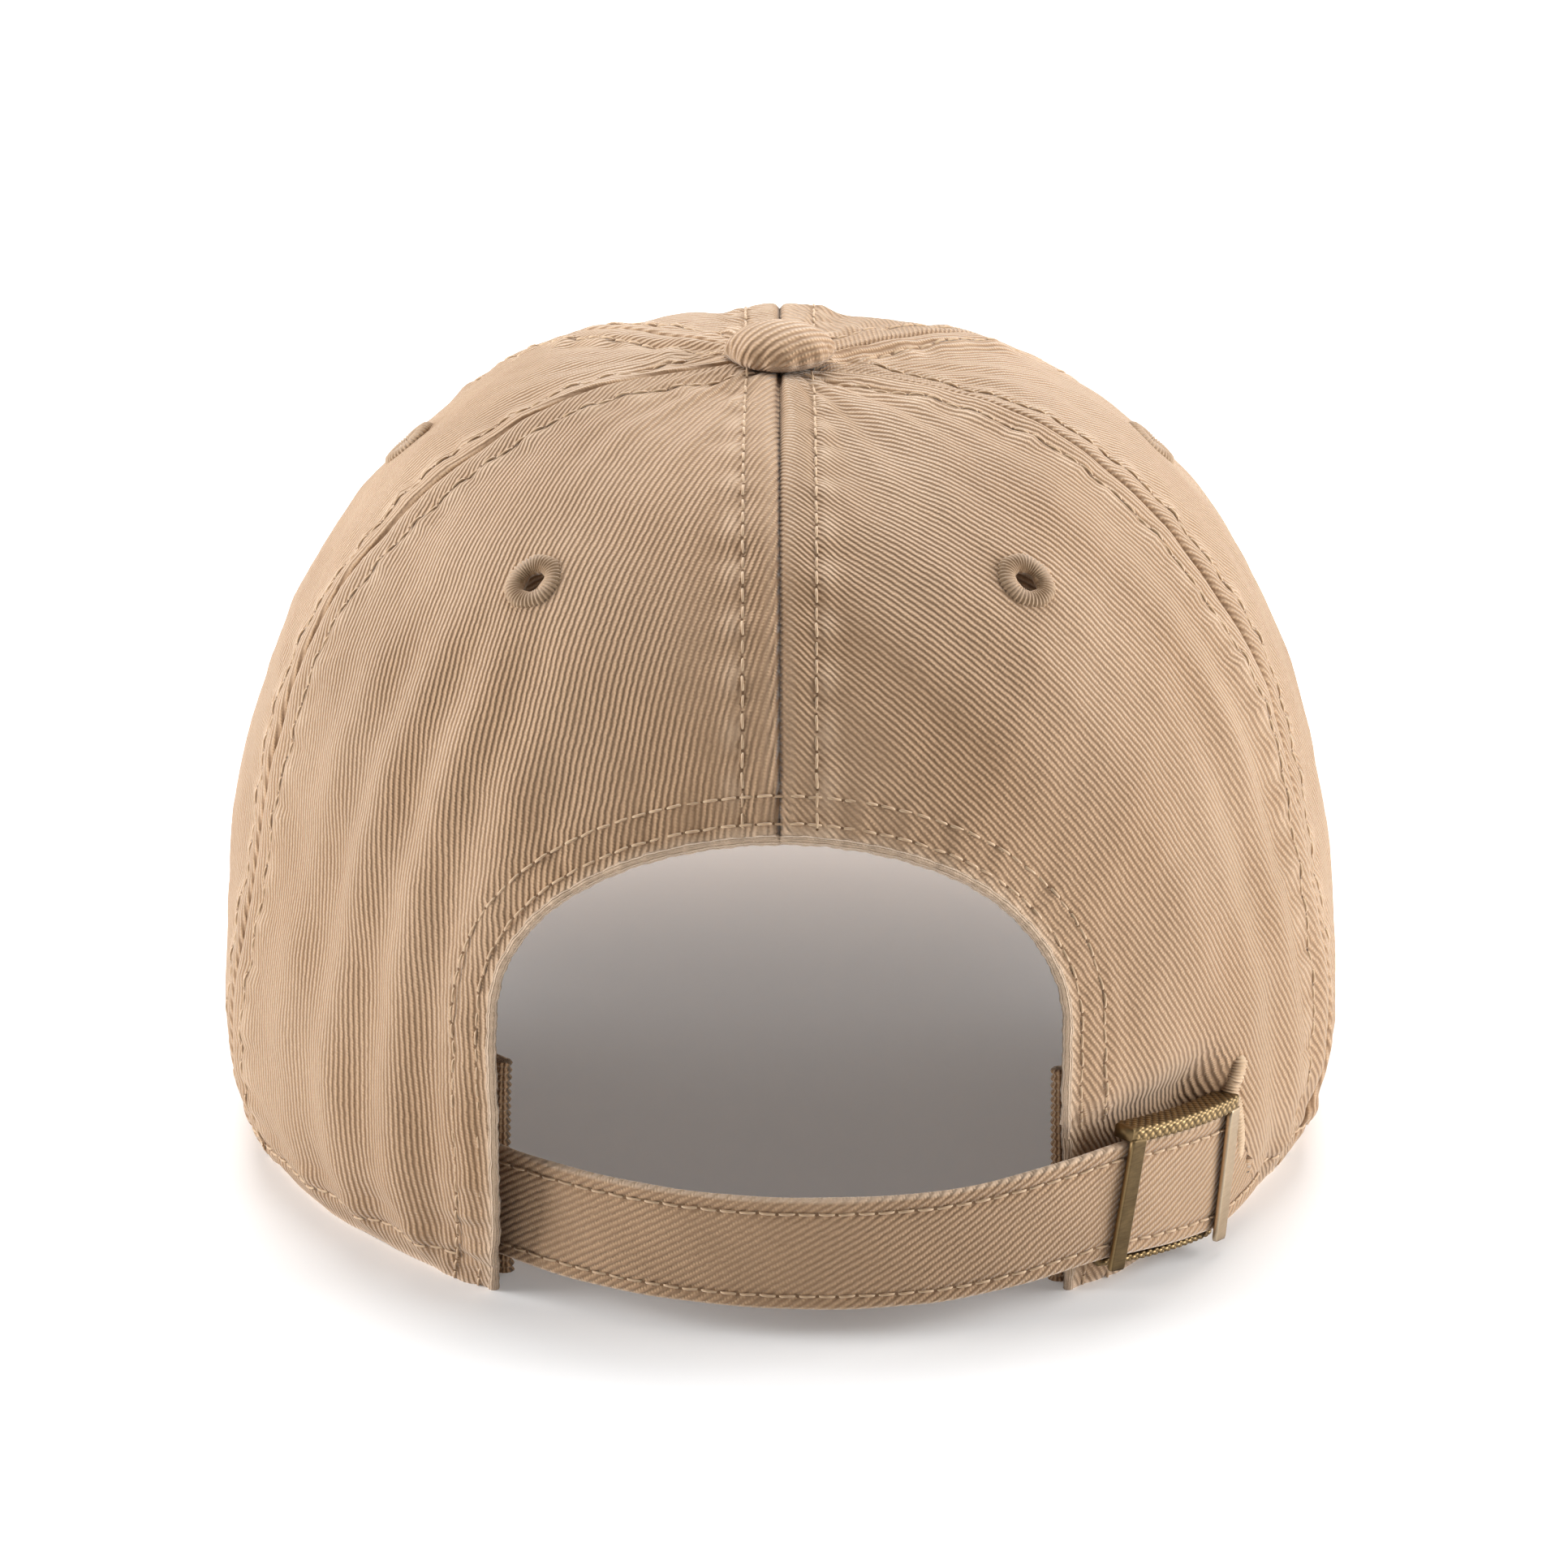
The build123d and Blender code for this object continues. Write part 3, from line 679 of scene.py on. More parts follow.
@dataclass
class Sewing:
    """Collects stitches of one thread and makes them one piece."""
    name: str
    radius: float = 0.21 * MM
    fill: float = 0.88
    points: list[np.ndarray] = field(default_factory=list)
    spots: int = 0

    def row(self, path: np.ndarray, normal: np.ndarray, pitch: float = STITCH_PITCH, sink: float = 0.0) -> None:
        """Sew along a path.

        Args:
            path: dense points on the cloth.
            normal: outward normals there.
            pitch: length of one stitch and its gap.
            sink: how far the thread lies in the cloth.
        """
        centre, up = even(path, pitch, [normal])
        tangent = unit(np.gradient(centre, axis=0))
        up = unit(up)
        side = np.cross(tangent, up)
        span = np.array([-1.0, -0.72, 0.0, 0.72, 1.0])
        lift = np.array([-0.5, 0.55, 0.95, 0.55, -0.5]) * self.radius
        thin = np.array([0.45, 0.95, 1.0, 0.95, 0.45]) * self.radius
        theta = np.linspace(0, TAU, 6, endpoint=False)
        wobble = 0.06 * np.sin(np.arange(len(centre)) * 2.4)[:, None, None]
        aim = tangent[:, None] + side[:, None] * wobble
        body = centre[:, None] + aim * (span * pitch * self.fill / 2)[None, :, None] \
            + up[:, None] * (lift - sink)[None, :, None]
        ring = side[:, None, None] * np.cos(theta)[None, None, :, None] + up[:, None, None] * np.sin(theta)[None, None, :, None]
        self.points.append((body[:, :, None] + ring * thin[None, :, None, None]).reshape(-1, 30, 3))

    def painted_hole_shadows(self, radius: float = 0.22 * MM) -> bpy.types.Object:
        """Returns: painted shadow in the needle holes: dark discs laid just over the cloth at the stitches' ends, as
        one piece.
        """
        points = np.concatenate(self.points)
        first, last = points[:, :6].mean(1), points[:, 24:30].mean(1)
        middle = points[:, 12:18].mean(1)
        up = unit(middle - (first + last) / 2)
        along = unit(last - first)
        side = np.cross(along, up)
        theta = np.linspace(0, TAU, 8, endpoint=False)
        discs = []
        # Painted shadow: these dark discs stand in for the shade inside each needle hole; the cloth has no hole here.
        for end in (first + along * 0.1 * MM * -1, last + along * 0.1 * MM):
            centre = end + up * (0.5 * self.radius + 0.07 * MM)
            ring = along[:, None] * np.cos(theta)[None, :, None] * 0.9 + side[:, None] * np.sin(theta)[None, :, None] * -1
            discs.append(centre[:, None] + ring * radius)
        points = np.concatenate(discs)
        faces = [tuple(range(8 * k + 7, 8 * k - 1, -1)) for k in range(len(points))]
        return built(self.name + "_pricks", points, faces)

    def make(self) -> bpy.types.Object:
        """Returns: the piece holding every stitch."""
        points = np.concatenate(self.points)
        cell = []
        for i in range(4):
            a, b = i * 6, i * 6 + 6
            cell += [(a + j, a + (j + 1) % 6, b + (j + 1) % 6, b + j) for j in range(6)]
        cell += [tuple(range(5, -1, -1)), tuple(range(24, 30))]
        faces = [tuple(v + 30 * k for v in face) for k in range(len(points)) for face in cell]
        rows = np.repeat(np.arange(5), 6) * 0.05
        turn = np.tile(np.arange(6) / 6.0, 5)
        uv = np.tile(np.stack([turn, rows], -1), (len(points), 1))
        obj = built(self.name, points, faces, uv)
        LOG.info("%s: %d stitches", self.name, len(points))
        return obj


@dataclass
class Wardrobe:
    """The finishes in use."""
    twill: bpy.types.Material
    thread: bpy.types.Material
    satin: bpy.types.Material
    # Painted shadow: dark finish for the discs that stand in for the shade in the needle holes.
    hole_shadow_paint: bpy.types.Material
    tape: bpy.types.Material
    brass: bpy.types.Material
    polished: bpy.types.Material
    steel: bpy.types.Material
    board: bpy.types.Material


@dataclass
class Piece:
    """Says what a finished piece is, where it rides and what it stands in for."""
    obj: bpy.types.Object
    material: bpy.types.Material
    slot: str
    body: str = "crown"
    nodes: tuple[str, ...] = ()

    def place(self) -> bpy.types.Object:
        """Returns: the object, dressed, attached to its body, with the frame pieces it stands in for hidden."""
        self.obj.data.materials.clear()
        self.obj.data.materials.append(self.material)
        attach(self.obj, self.body)
        if self.nodes:
            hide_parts(*self.nodes)
        return self.obj


def sheet_area(obj: bpy.types.Object) -> float:
    """Area of a surface's faces."""
    area = np.empty(len(obj.data.polygons), np.float32)
    obj.data.polygons.foreach_get("area", area)
    return float(area.sum())


# ---------------------------------------------------------------------------
# Sub-assemblies
# ---------------------------------------------------------------------------
@dataclass
class CrownPanels:
    """The six twill panels, their folded edges and the tapes and facing inside."""
    form: Crown
    kit: Wardrobe
    cell: float = 1.15 * MM
    cloth: float = 0.9 * MM

    def hole_distance(self, name: str, angle: np.ndarray, t: np.ndarray, p: np.ndarray) -> np.ndarray:
        """Distance outside any hole in the panel: arch, eyelet or strap slot."""
        centre = self.form.base(np.radians(EYELETS[name]), self.form.t_at_height(EYELET_Z))
        d = np.linalg.norm(p - centre, axis=-1) - EYELET_HOLE
        if name.startswith("back"):
            d = np.minimum(d, self.form.arch_distance(p[..., 0], p[..., 2]))
        if name == "back_right":
            dx, dy = p[..., 0] - self.form.strap_x, p[..., 1] - self.form.strap_y
            off = np.abs(np.hypot(dx, dy) - self.form.strap_r) - 1.3 * MM
            tall = np.abs(p[..., 2] - 12.6 * MM) - 9.4 * MM
            turn = np.degrees(np.arctan2(dy, dx))
            side = np.where((turn > -34.0) & (turn < -22.0), -1.0, 1.0)
            d = np.minimum(d, np.maximum(np.maximum(off, tall), side))
        return d

    def panel(self, name: str) -> bpy.types.Object:
        """Build one panel: a fine grid over its gore, cut, then thickened."""
        low, high, wales = PANELS[name]
        a_low, a_high = math.radians(low), math.radians(high)
        wide = (a_high - a_low) * self.form.half_width * 1.07
        long = float(self.form.arc(np.array(1.0)))
        columns, rows = int(wide / self.cell), int(long / self.cell)
        obj, u, v = grid("panel_cloth_" + name, columns, rows)
        order = np.lexsort((np.rint(u * columns), np.rint(v * rows)))
        shape = (rows + 1, columns + 1)
        angle = (a_low + (a_high - a_low) * u)[order].reshape(shape)
        start = self.form.hem_t(angle)
        t = start + (TOP_T - start) * v[order].reshape(shape)
        angle, t, gap = self.snap(name, angle, t)
        points, _ = self.form.frame_at(angle, t)
        place = self.form.plain(angle, t)
        mid = (a_low + a_high) / 2
        across = (angle - mid) * self.form.profile(t)[0] * self.form.speed(angle) * 100
        up = self.form.arc(t) * 100
        turn = math.radians(wales.value)
        uv = np.stack([across * math.cos(turn) + up * math.sin(turn),
                       up * math.cos(turn) - across * math.sin(turn)], -1)
        back = np.empty_like(order)
        back[order] = np.arange(len(order))
        move_to(obj, points.reshape(-1, 3)[back])
        set_cloth(obj, uv.reshape(-1, 2)[back], self.form.worn(angle, t, place).reshape(-1)[back])
        inside = (gap.reshape(-1)[back] < 1e-5)
        corners = np.empty(len(obj.data.loops), np.int32)
        obj.data.loops.foreach_get("vertex_index", corners)
        area = sheet_area(obj)
        cut_faces(obj, inside[corners].reshape(-1, 4).all(1))
        thicken(obj, self.cloth)
        Piece(obj, self.kit.twill, "twill_shell", nodes=("panel_" + name,)).place()
        return obj

    def snap(self, name: str, angle: np.ndarray, t: np.ndarray) -> tuple[np.ndarray, np.ndarray, np.ndarray]:
        """Pull the vertices just inside a hole onto its edge.

        Returns:
            The moved angles and parameters, and each vertex's distance outside the holes.
        """
        def gap_at(a: np.ndarray, b: np.ndarray) -> np.ndarray:
            return self.hole_distance(name, a, b, self.form.plain(a, b))
        gap = gap_at(angle, t)
        out = gap > 0
        near = np.zeros_like(out)
        padded = np.pad(out, 1)
        for i in (0, 1, 2):
            for j in (0, 1, 2):
                near |= padded[i:i + out.shape[0], j:j + out.shape[1]]
        edge = ~out & near
        step = 1e-4
        for _ in range(5):
            gap = gap_at(angle, t)
            ga = (gap_at(angle + step, t) - gap_at(angle - step, t)) / (2 * step)
            gt = (gap_at(angle, t + step) - gap_at(angle, t - step)) / (2 * step)
            scale_a, scale_t = 0.09, 0.14
            size = (ga * scale_t) ** 2 + (gt * scale_a) ** 2
            move = np.where(edge & (size > 1e-12), gap / np.maximum(size, 1e-12), 0.0)
            angle = angle - np.clip(move * ga * scale_t ** 2, -0.02, 0.02)
            t = t - np.clip(move * gt * scale_a ** 2, -0.014, 0.014)
        gap = gap_at(angle, t)
        return angle, t, np.where(edge, 0.0, gap)

    def arch_path(self, grow: float, count: int = 500) -> tuple[np.ndarray, np.ndarray]:
        """Angles and parameters along the half-moon opening, from its left leg to its right.

        Args:
            grow: distance outside the edge.
            count: points along it.

        Returns:
            Angle and parameter arrays.
        """
        f = self.form
        half, rise = f.arch_half + grow, f.arch_top - f.arch_side + grow
        leg = f.arch_side / (f.arch_side + 1.35 * half)
        s = np.linspace(0, 1, count)
        below = np.minimum(s, 1 - s) / (leg / 2)
        sweep = math.pi * (1 - np.clip((s - leg / 2) / (1 - leg), 0, 1))
        x = half * np.cos(sweep)
        z = np.where(below < 1, f.arch_side * np.clip(below, 0, 1), f.arch_side + rise * np.sin(sweep))
        t = f.t_at_height(z)
        angle = -np.arccos(np.clip(x / f.profile(t)[0], -1, 1))
        for _ in range(12):
            p = f.plain(angle, t)
            angle = angle + (x - p[..., 0]) / (f.profile(t)[0] * np.maximum(-np.sin(angle), 0.3))
            t = f.t_at_height(z)
        return angle, t

    def arch_bead(self) -> bpy.types.Object:
        """The rolled, rubbed edge of the half-moon opening."""
        angle, t = self.arch_path(0.35 * MM, 700)
        path, normal = self.form.frame_at(angle, t, 0.45 * MM)
        s = np.arange(len(path)) * 0.37
        radius = (0.80 + 0.07 * np.sin(s) + 0.05 * np.sin(2.7 * s)) * MM
        rings = round_rings(path, normal, radius, 10)
        obj = swept("opening_rolled_edge", rings)
        obj.data.attributes.new("worn", "FLOAT", "POINT").data.foreach_set(
            "value", np.full(len(obj.data.vertices), 0.9, np.float32))
        return Piece(obj, self.kit.twill, "twill_shell").place()

    def strip(self, name: str, nodes: tuple[str, ...], angle: np.ndarray, t: np.ndarray, depth: float,
              thickness: float, material: bpy.types.Material, slot: str) -> bpy.types.Object:
        """A band of cloth inside the crown, from grids of angle and parameter."""
        rows, columns = angle.shape[0] - 1, angle.shape[1] - 1
        obj, u, v = grid(name, columns, rows)
        index = np.rint(v * rows).astype(int), np.rint(u * columns).astype(int)
        points, _ = self.form.frame_at(angle, t, depth)
        move_to(obj, points[index])
        step_up = np.linalg.norm(np.diff(points, axis=0), axis=-1).mean(1)
        step_in = np.linalg.norm(np.diff(points, axis=1), axis=-1).mean(0)
        long, wide = float(step_up.sum()), float(step_in.sum())
        set_cloth(obj, np.stack([u * wide * 100, v * long * 100], -1), np.full(len(u), 0.15))
        thicken(obj, thickness)
        Piece(obj, material, slot, nodes=nodes).place()
        return obj

    def tapes(self) -> None:
        """Seam tapes, one over each seam, from the sweatband to the button."""
        f = self.form
        for name, seam in SEAMS.items():
            start = f.t_at_height(34 * MM if name.endswith("back") else 60 * MM)
            if name == "centre_back":
                start = f.t_at_height(f.arch_top + 7.6 * MM)
            stop = float(np.interp(-13 * MM, -f.profile(f.arc_t)[0][600:], f.arc_t[600:]))
            t = np.linspace(float(start), stop, 110)[:, None] + np.zeros(9)
            off = np.linspace(-4.7, 4.7, 9) * MM
            angle = math.radians(seam) + off / (f.profile(t)[0] * f.speed(np.radians(seam)))
            self.strip("tape_" + name, ("seam_tape_" + name,), angle, t, self.cloth + 0.15 * MM, 0.4 * MM,
                       self.kit.tape, "seam_tape")

    def facing(self) -> None:
        """The turned facing inside the half-moon opening."""
        rows = [self.arch_path(g * MM, 300) for g in np.linspace(0.2, 7.2, 8)]
        angle = np.stack([r[0] for r in rows], 1)
        t = np.stack([r[1] for r in rows], 1)
        keep = self.form.profile(t)[1].min(1) > 34 * MM
        self.strip("facing_turned", ("opening_facing",), angle[keep][:, ::-1], t[keep][:, ::-1],
                   self.cloth + 0.12 * MM, 0.5 * MM, self.kit.twill, "twill_shell")

    def sew(self) -> None:
        """Every visible row of stitches on the crown."""
        f = self.form
        seams = Sewing("stitches_seams")
        for name, seam in SEAMS.items():
            for side in (-1, 1):
                at = math.radians(seam)
                low = f.t_at_height(f.arch_top + 1.5 * MM) if name == "centre_back" else None
                start = float(low) if low is not None else float(f.hem_t(np.array(at))) + 0.03
                t = np.linspace(start, 0.978, 600)
                angle = at + side * SEAM_ROW / (f.profile(t)[0] * f.speed(np.full_like(t, at)))
                seams.row(*f.frame_at(angle, t))
        edges = Sewing("stitches_opening")
        for grow in ARCH_ROWS:
            edges.row(*f.frame_at(*self.arch_path(grow, 900)), pitch=2.7 * MM)
        hem = Sewing("stitches_hem")
        left = self.arch_path(ARCH_ROWS[0], 9)[0][0]
        right = self.arch_path(ARCH_ROWS[0], 9)[0][-1]
        angle = np.linspace(right + 0.03, TAU + left - 0.03, 3000)
        base = f.plain(angle, f.hem_t(angle))
        t = f.t_at_height(f.hem(base[..., 0], base[..., 1]) + HEM_ROW)
        hem.row(*f.frame_at(angle, t))
        for rows in (seams, edges, hem):
            Piece(rows.make(), self.kit.thread, "eyelet_thread").place()
            # Dark discs of painted shadow at the stitch ends, in place of the needle holes' shade.
            Piece(rows.painted_hole_shadows(), self.kit.hole_shadow_paint, "twill_shell").place()

    def build(self) -> None:
        """Build the whole crown."""
        for name in PANELS:
            self.panel(name)
        self.arch_bead()
        self.tapes()
        self.facing()
        self.sew()


@dataclass
class CrownTrim:
    """Sewn eyelets and the cloth-covered button."""
    form: Crown
    kit: Wardrobe
    button_r: float = 8.3 * MM
    button_high: float = 4.3 * MM

    def eyelet(self, name: str) -> None:
        """A ring of satin stitches round one vent hole."""
        f = self.form
        angle, t = np.radians(EYELETS[name]), f.t_at_height(EYELET_Z)
        centre, normal = f.frame_at(np.array([angle]), np.array([t]))
        centre, normal = centre[0], normal[0]
        east = unit(np.cross(np.array([0.0, 0.0, 1.0]), normal))
        north = np.cross(normal, east)
        turns, around = 240, 12
        theta = np.linspace(0, TAU, turns, endpoint=False)
        phi = np.linspace(0, TAU, around, endpoint=False)
        rib = 1 + 0.13 * np.sin(theta * 40)
        radial = east * np.cos(theta)[:, None] + north * np.sin(theta)[:, None]
        wide = (1.35 + 0.08 * np.sin(theta * 7)) * MM * rib
        rings = centre + radial[:, None] * (3.3 * MM + wide[:, None] * np.cos(phi))[..., None] \
            + normal * ((0.95 * MM * rib)[:, None] * np.sin(phi) - 0.12 * MM)[..., None]
        obj = swept("eyelet_ring_" + name, rings[:, ::-1], loop=True)
        Piece(obj, self.kit.satin, "eyelet_thread", nodes=("eyelet_" + name,)).place()

    def button(self) -> None:
        """The covered button, its cloth gathered under the rim."""
        rows, columns = 40, 120
        obj, u, v = grid("button_cloth", columns, rows)
        theta, s = u * TAU, 1 - v
        turn = np.clip(s / 0.62, 0, 1) * math.pi / 2
        radius = self.button_r * np.where(s < 0.62, np.sin(turn), 1.0 - 0.22 * ((s - 0.62) / 0.38) ** 2)
        rise = np.where(s < 0.62, self.button_high * np.cos(turn), -1.5 * MM * (s - 0.62) / 0.38)
        pleat = 0.22 * MM * np.sin(theta * 21 + 2 * np.sin(theta * 2)) * smooth(0.34, 0.7, s)
        pleat = pleat + 0.18 * MM * np.sin(theta * 8 + 1) * smooth(0.1, 0.5, s)
        radius = radius + pleat
        x, y = radius * np.cos(theta), radius * np.sin(theta)
        z = self.form.top + 0.5 * MM + rise + 0.3 * pleat
        move_to(obj, np.stack([x, y + self.form.axis_y, z], -1))
        run = s * 1.25
        set_cloth(obj, np.stack([run * np.cos(theta + 0.8), run * np.sin(theta + 0.8)], -1), 0.12 + 0.5 * smooth(0.5, 0.65, s))
        select_only(obj)
        bpy.ops.object.mode_set(mode="EDIT")
        bpy.ops.mesh.select_all(action="SELECT")
        bpy.ops.mesh.remove_doubles(threshold=2e-5)
        bpy.ops.mesh.normals_make_consistent(inside=False)
        bpy.ops.object.mode_set(mode="OBJECT")
        thicken(obj, 0.6 * MM)
        Piece(obj, self.kit.twill, "twill_shell", nodes=("button_cover",)).place()

    def build(self) -> None:
        """Build the eyelets and the button."""
        for name in EYELETS:
            self.eyelet(name)
        self.button()


@dataclass
class Visor:
    """Curved visor: two cloth covers sewn round a board, with rows of topstitching."""
    form: Crown
    kit: Wardrobe
    half_width: float = 75.0 * MM
    root_y: float = 32.0 * MM
    tip_y: float = 168.0 * MM
    rows: int = 8

    def outline(self, inset: float, theta: np.ndarray) -> tuple[np.ndarray, np.ndarray]:
        """Plan of the visor's edge, inset; theta runs over the front half of an oval."""
        deep = self.tip_y - self.root_y
        return (self.half_width - inset) * np.cos(theta), self.root_y + (deep - inset) * np.sin(theta)

    def root(self, x: np.ndarray) -> np.ndarray:
        """Plan of the visor's root, along the sweatband."""
        return 89.2 * MM * np.sqrt(np.maximum(1 - (x / (78.2 * MM)) ** 2, 0.0))

    def surface(self, x: np.ndarray, y: np.ndarray, drop: float = 0.0) -> np.ndarray:
        """Points on the visor's layers, drop below the top."""
        z = self.form.visor_top(x, y)
        tilt = np.stack([x, 0 * x, np.sqrt(np.maximum(self.form.visor_radius ** 2 - x * x, 1e-9))], -1)
        tilt = tilt / self.form.visor_radius
        points = np.stack([x, y + self.form.axis_y, z], -1) - tilt * np.asarray(drop)[..., None]
        return points

    def cover(self, name: str, node: str, drop: float, facing_up: bool) -> bpy.types.Object:
        """One cover: a grid from the root to the edge, rolled over at the rim."""
        columns, rows = 150, 110
        obj, u, v = grid(name, columns, rows)
        theta = math.pi * (0.012 + 0.976 * (u if not facing_up else 1 - u))
        edge_x, edge_y = self.outline(0.0, theta)
        start_x = edge_x * 0.985
        start_y = np.minimum(self.root(start_x), edge_y)
        bend = v ** 0.9
        x = start_x + (edge_x - start_x) * bend
        y = start_y + (edge_y - start_y) * bend
        sign = 1.0 if facing_up else -1.0
        near = np.hypot(edge_x - x, edge_y - y)
        roll = 1.5 * MM * (1 - np.sqrt(np.clip(1 - (1 - np.clip(near / (2.2 * MM), 0, 1)) ** 2, 0, 1)))
        soft = 0.06 * MM * ripple(x, y, 0 * x, 0.014, 3.0) + 0.12 * MM * ripple(x, y, 0 * x, 0.05, 1.0)
        for k in range(self.rows):
            soft = soft - 0.16 * MM * bell(near, self.row_inset(k), 0.9 * MM)
        move_to(obj, self.surface(x, y, drop + sign * (roll - 0.38 * MM - soft)))
        set_cloth(obj, np.stack([x * 70 + y * 70, y * 70 - x * 70], -1), 0.12 + 0.8 * (1 - smooth(0, 2.2 * MM, near)))
        area = sheet_area(obj)
        thicken(obj, 0.7 * MM)
        Piece(obj, self.kit.twill, "twill_shell", nodes=(node,)).place()
        return obj

    def row_inset(self, index: int) -> float:
        """How far inside the edge a topstitch row runs."""
        return 4.2 * MM + 6.2 * MM * index

    def sew(self) -> None:
        """Rows of topstitching that follow the visor's edge, above and below."""
        thread = Sewing("stitches_visor")
        theta = np.linspace(0.02, math.pi - 0.02, 1200)
        for k in range(self.rows):
            x, y = self.outline(self.row_inset(k), theta)
            keep = y > self.root(x) + 2.5 * MM
            up = unit(np.stack([x, 0 * x + 13 * MM, np.sqrt(self.form.visor_radius ** 2 - x * x)], -1))
            for drop, sign in ((-0.30 * MM, 1), (3.90 * MM, -1)):
                thread.row(self.surface(x, y, drop)[keep], sign * up[keep])
        Piece(thread.make(), self.kit.thread, "eyelet_thread").place()
        # Dark discs of painted shadow at the stitch ends, in place of the needle holes' shade.
        Piece(thread.painted_hole_shadows(), self.kit.hole_shadow_paint, "twill_shell").place()

    def rim(self) -> None:
        """The seam where the covers meet round the edge."""
        theta = np.linspace(0.015, math.pi - 0.015, 500)
        x, y = self.outline(0.35 * MM, theta)
        path = self.surface(x, y, 1.85 * MM)
        up = np.stack([x, 0 * x, np.sqrt(self.form.visor_radius ** 2 - x * x)], -1)
        s = np.arange(500)
        obj = swept("visor_rolled_rim", round_rings(path, up, (1.25 + 0.05 * np.sin(s * 0.9)) * MM, 12, 1.3))
        obj.data.attributes.new("worn", "FLOAT", "POINT").data.foreach_set(
            "value", np.full(len(obj.data.vertices), 0.75, np.float32))
        Piece(obj, self.kit.twill, "twill_shell").place()

    def build(self) -> None:
        """Build the visor."""
        self.cover("visor_cloth_top", "visor_top_cover", 0.0, True)
        self.cover("visor_cloth_under", "visor_under_cover", 3.6 * MM, False)
        self.rim()
        self.sew()


def smooth_curve(points: Sequence[tuple[float, float]], samples: int) -> np.ndarray:
    """Evenly spaced curve through plan points."""
    p = np.array(points)
    p = np.vstack([2 * p[0] - p[1], p, 2 * p[-1] - p[-2]])
    s = np.linspace(0, 1, 24, endpoint=False)[:, None]
    runs = []
    for a, b, c, d in zip(p[:-3], p[1:-2], p[2:-1], p[3:]):
        runs.append(0.5 * (2 * b + (c - a) * s + (2 * a - 5 * b + 4 * c - d) * s ** 2
                           + (3 * b - a - 3 * c + d) * s ** 3))
    dense = np.vstack(runs + [p[-2:-1]])
    run = np.concatenate([[0.0], np.cumsum(np.linalg.norm(np.diff(dense, axis=0), axis=-1))])
    at = np.linspace(0, run[-1], samples)
    return np.stack([np.interp(at, run, dense[:, k]) for k in (0, 1)], -1)


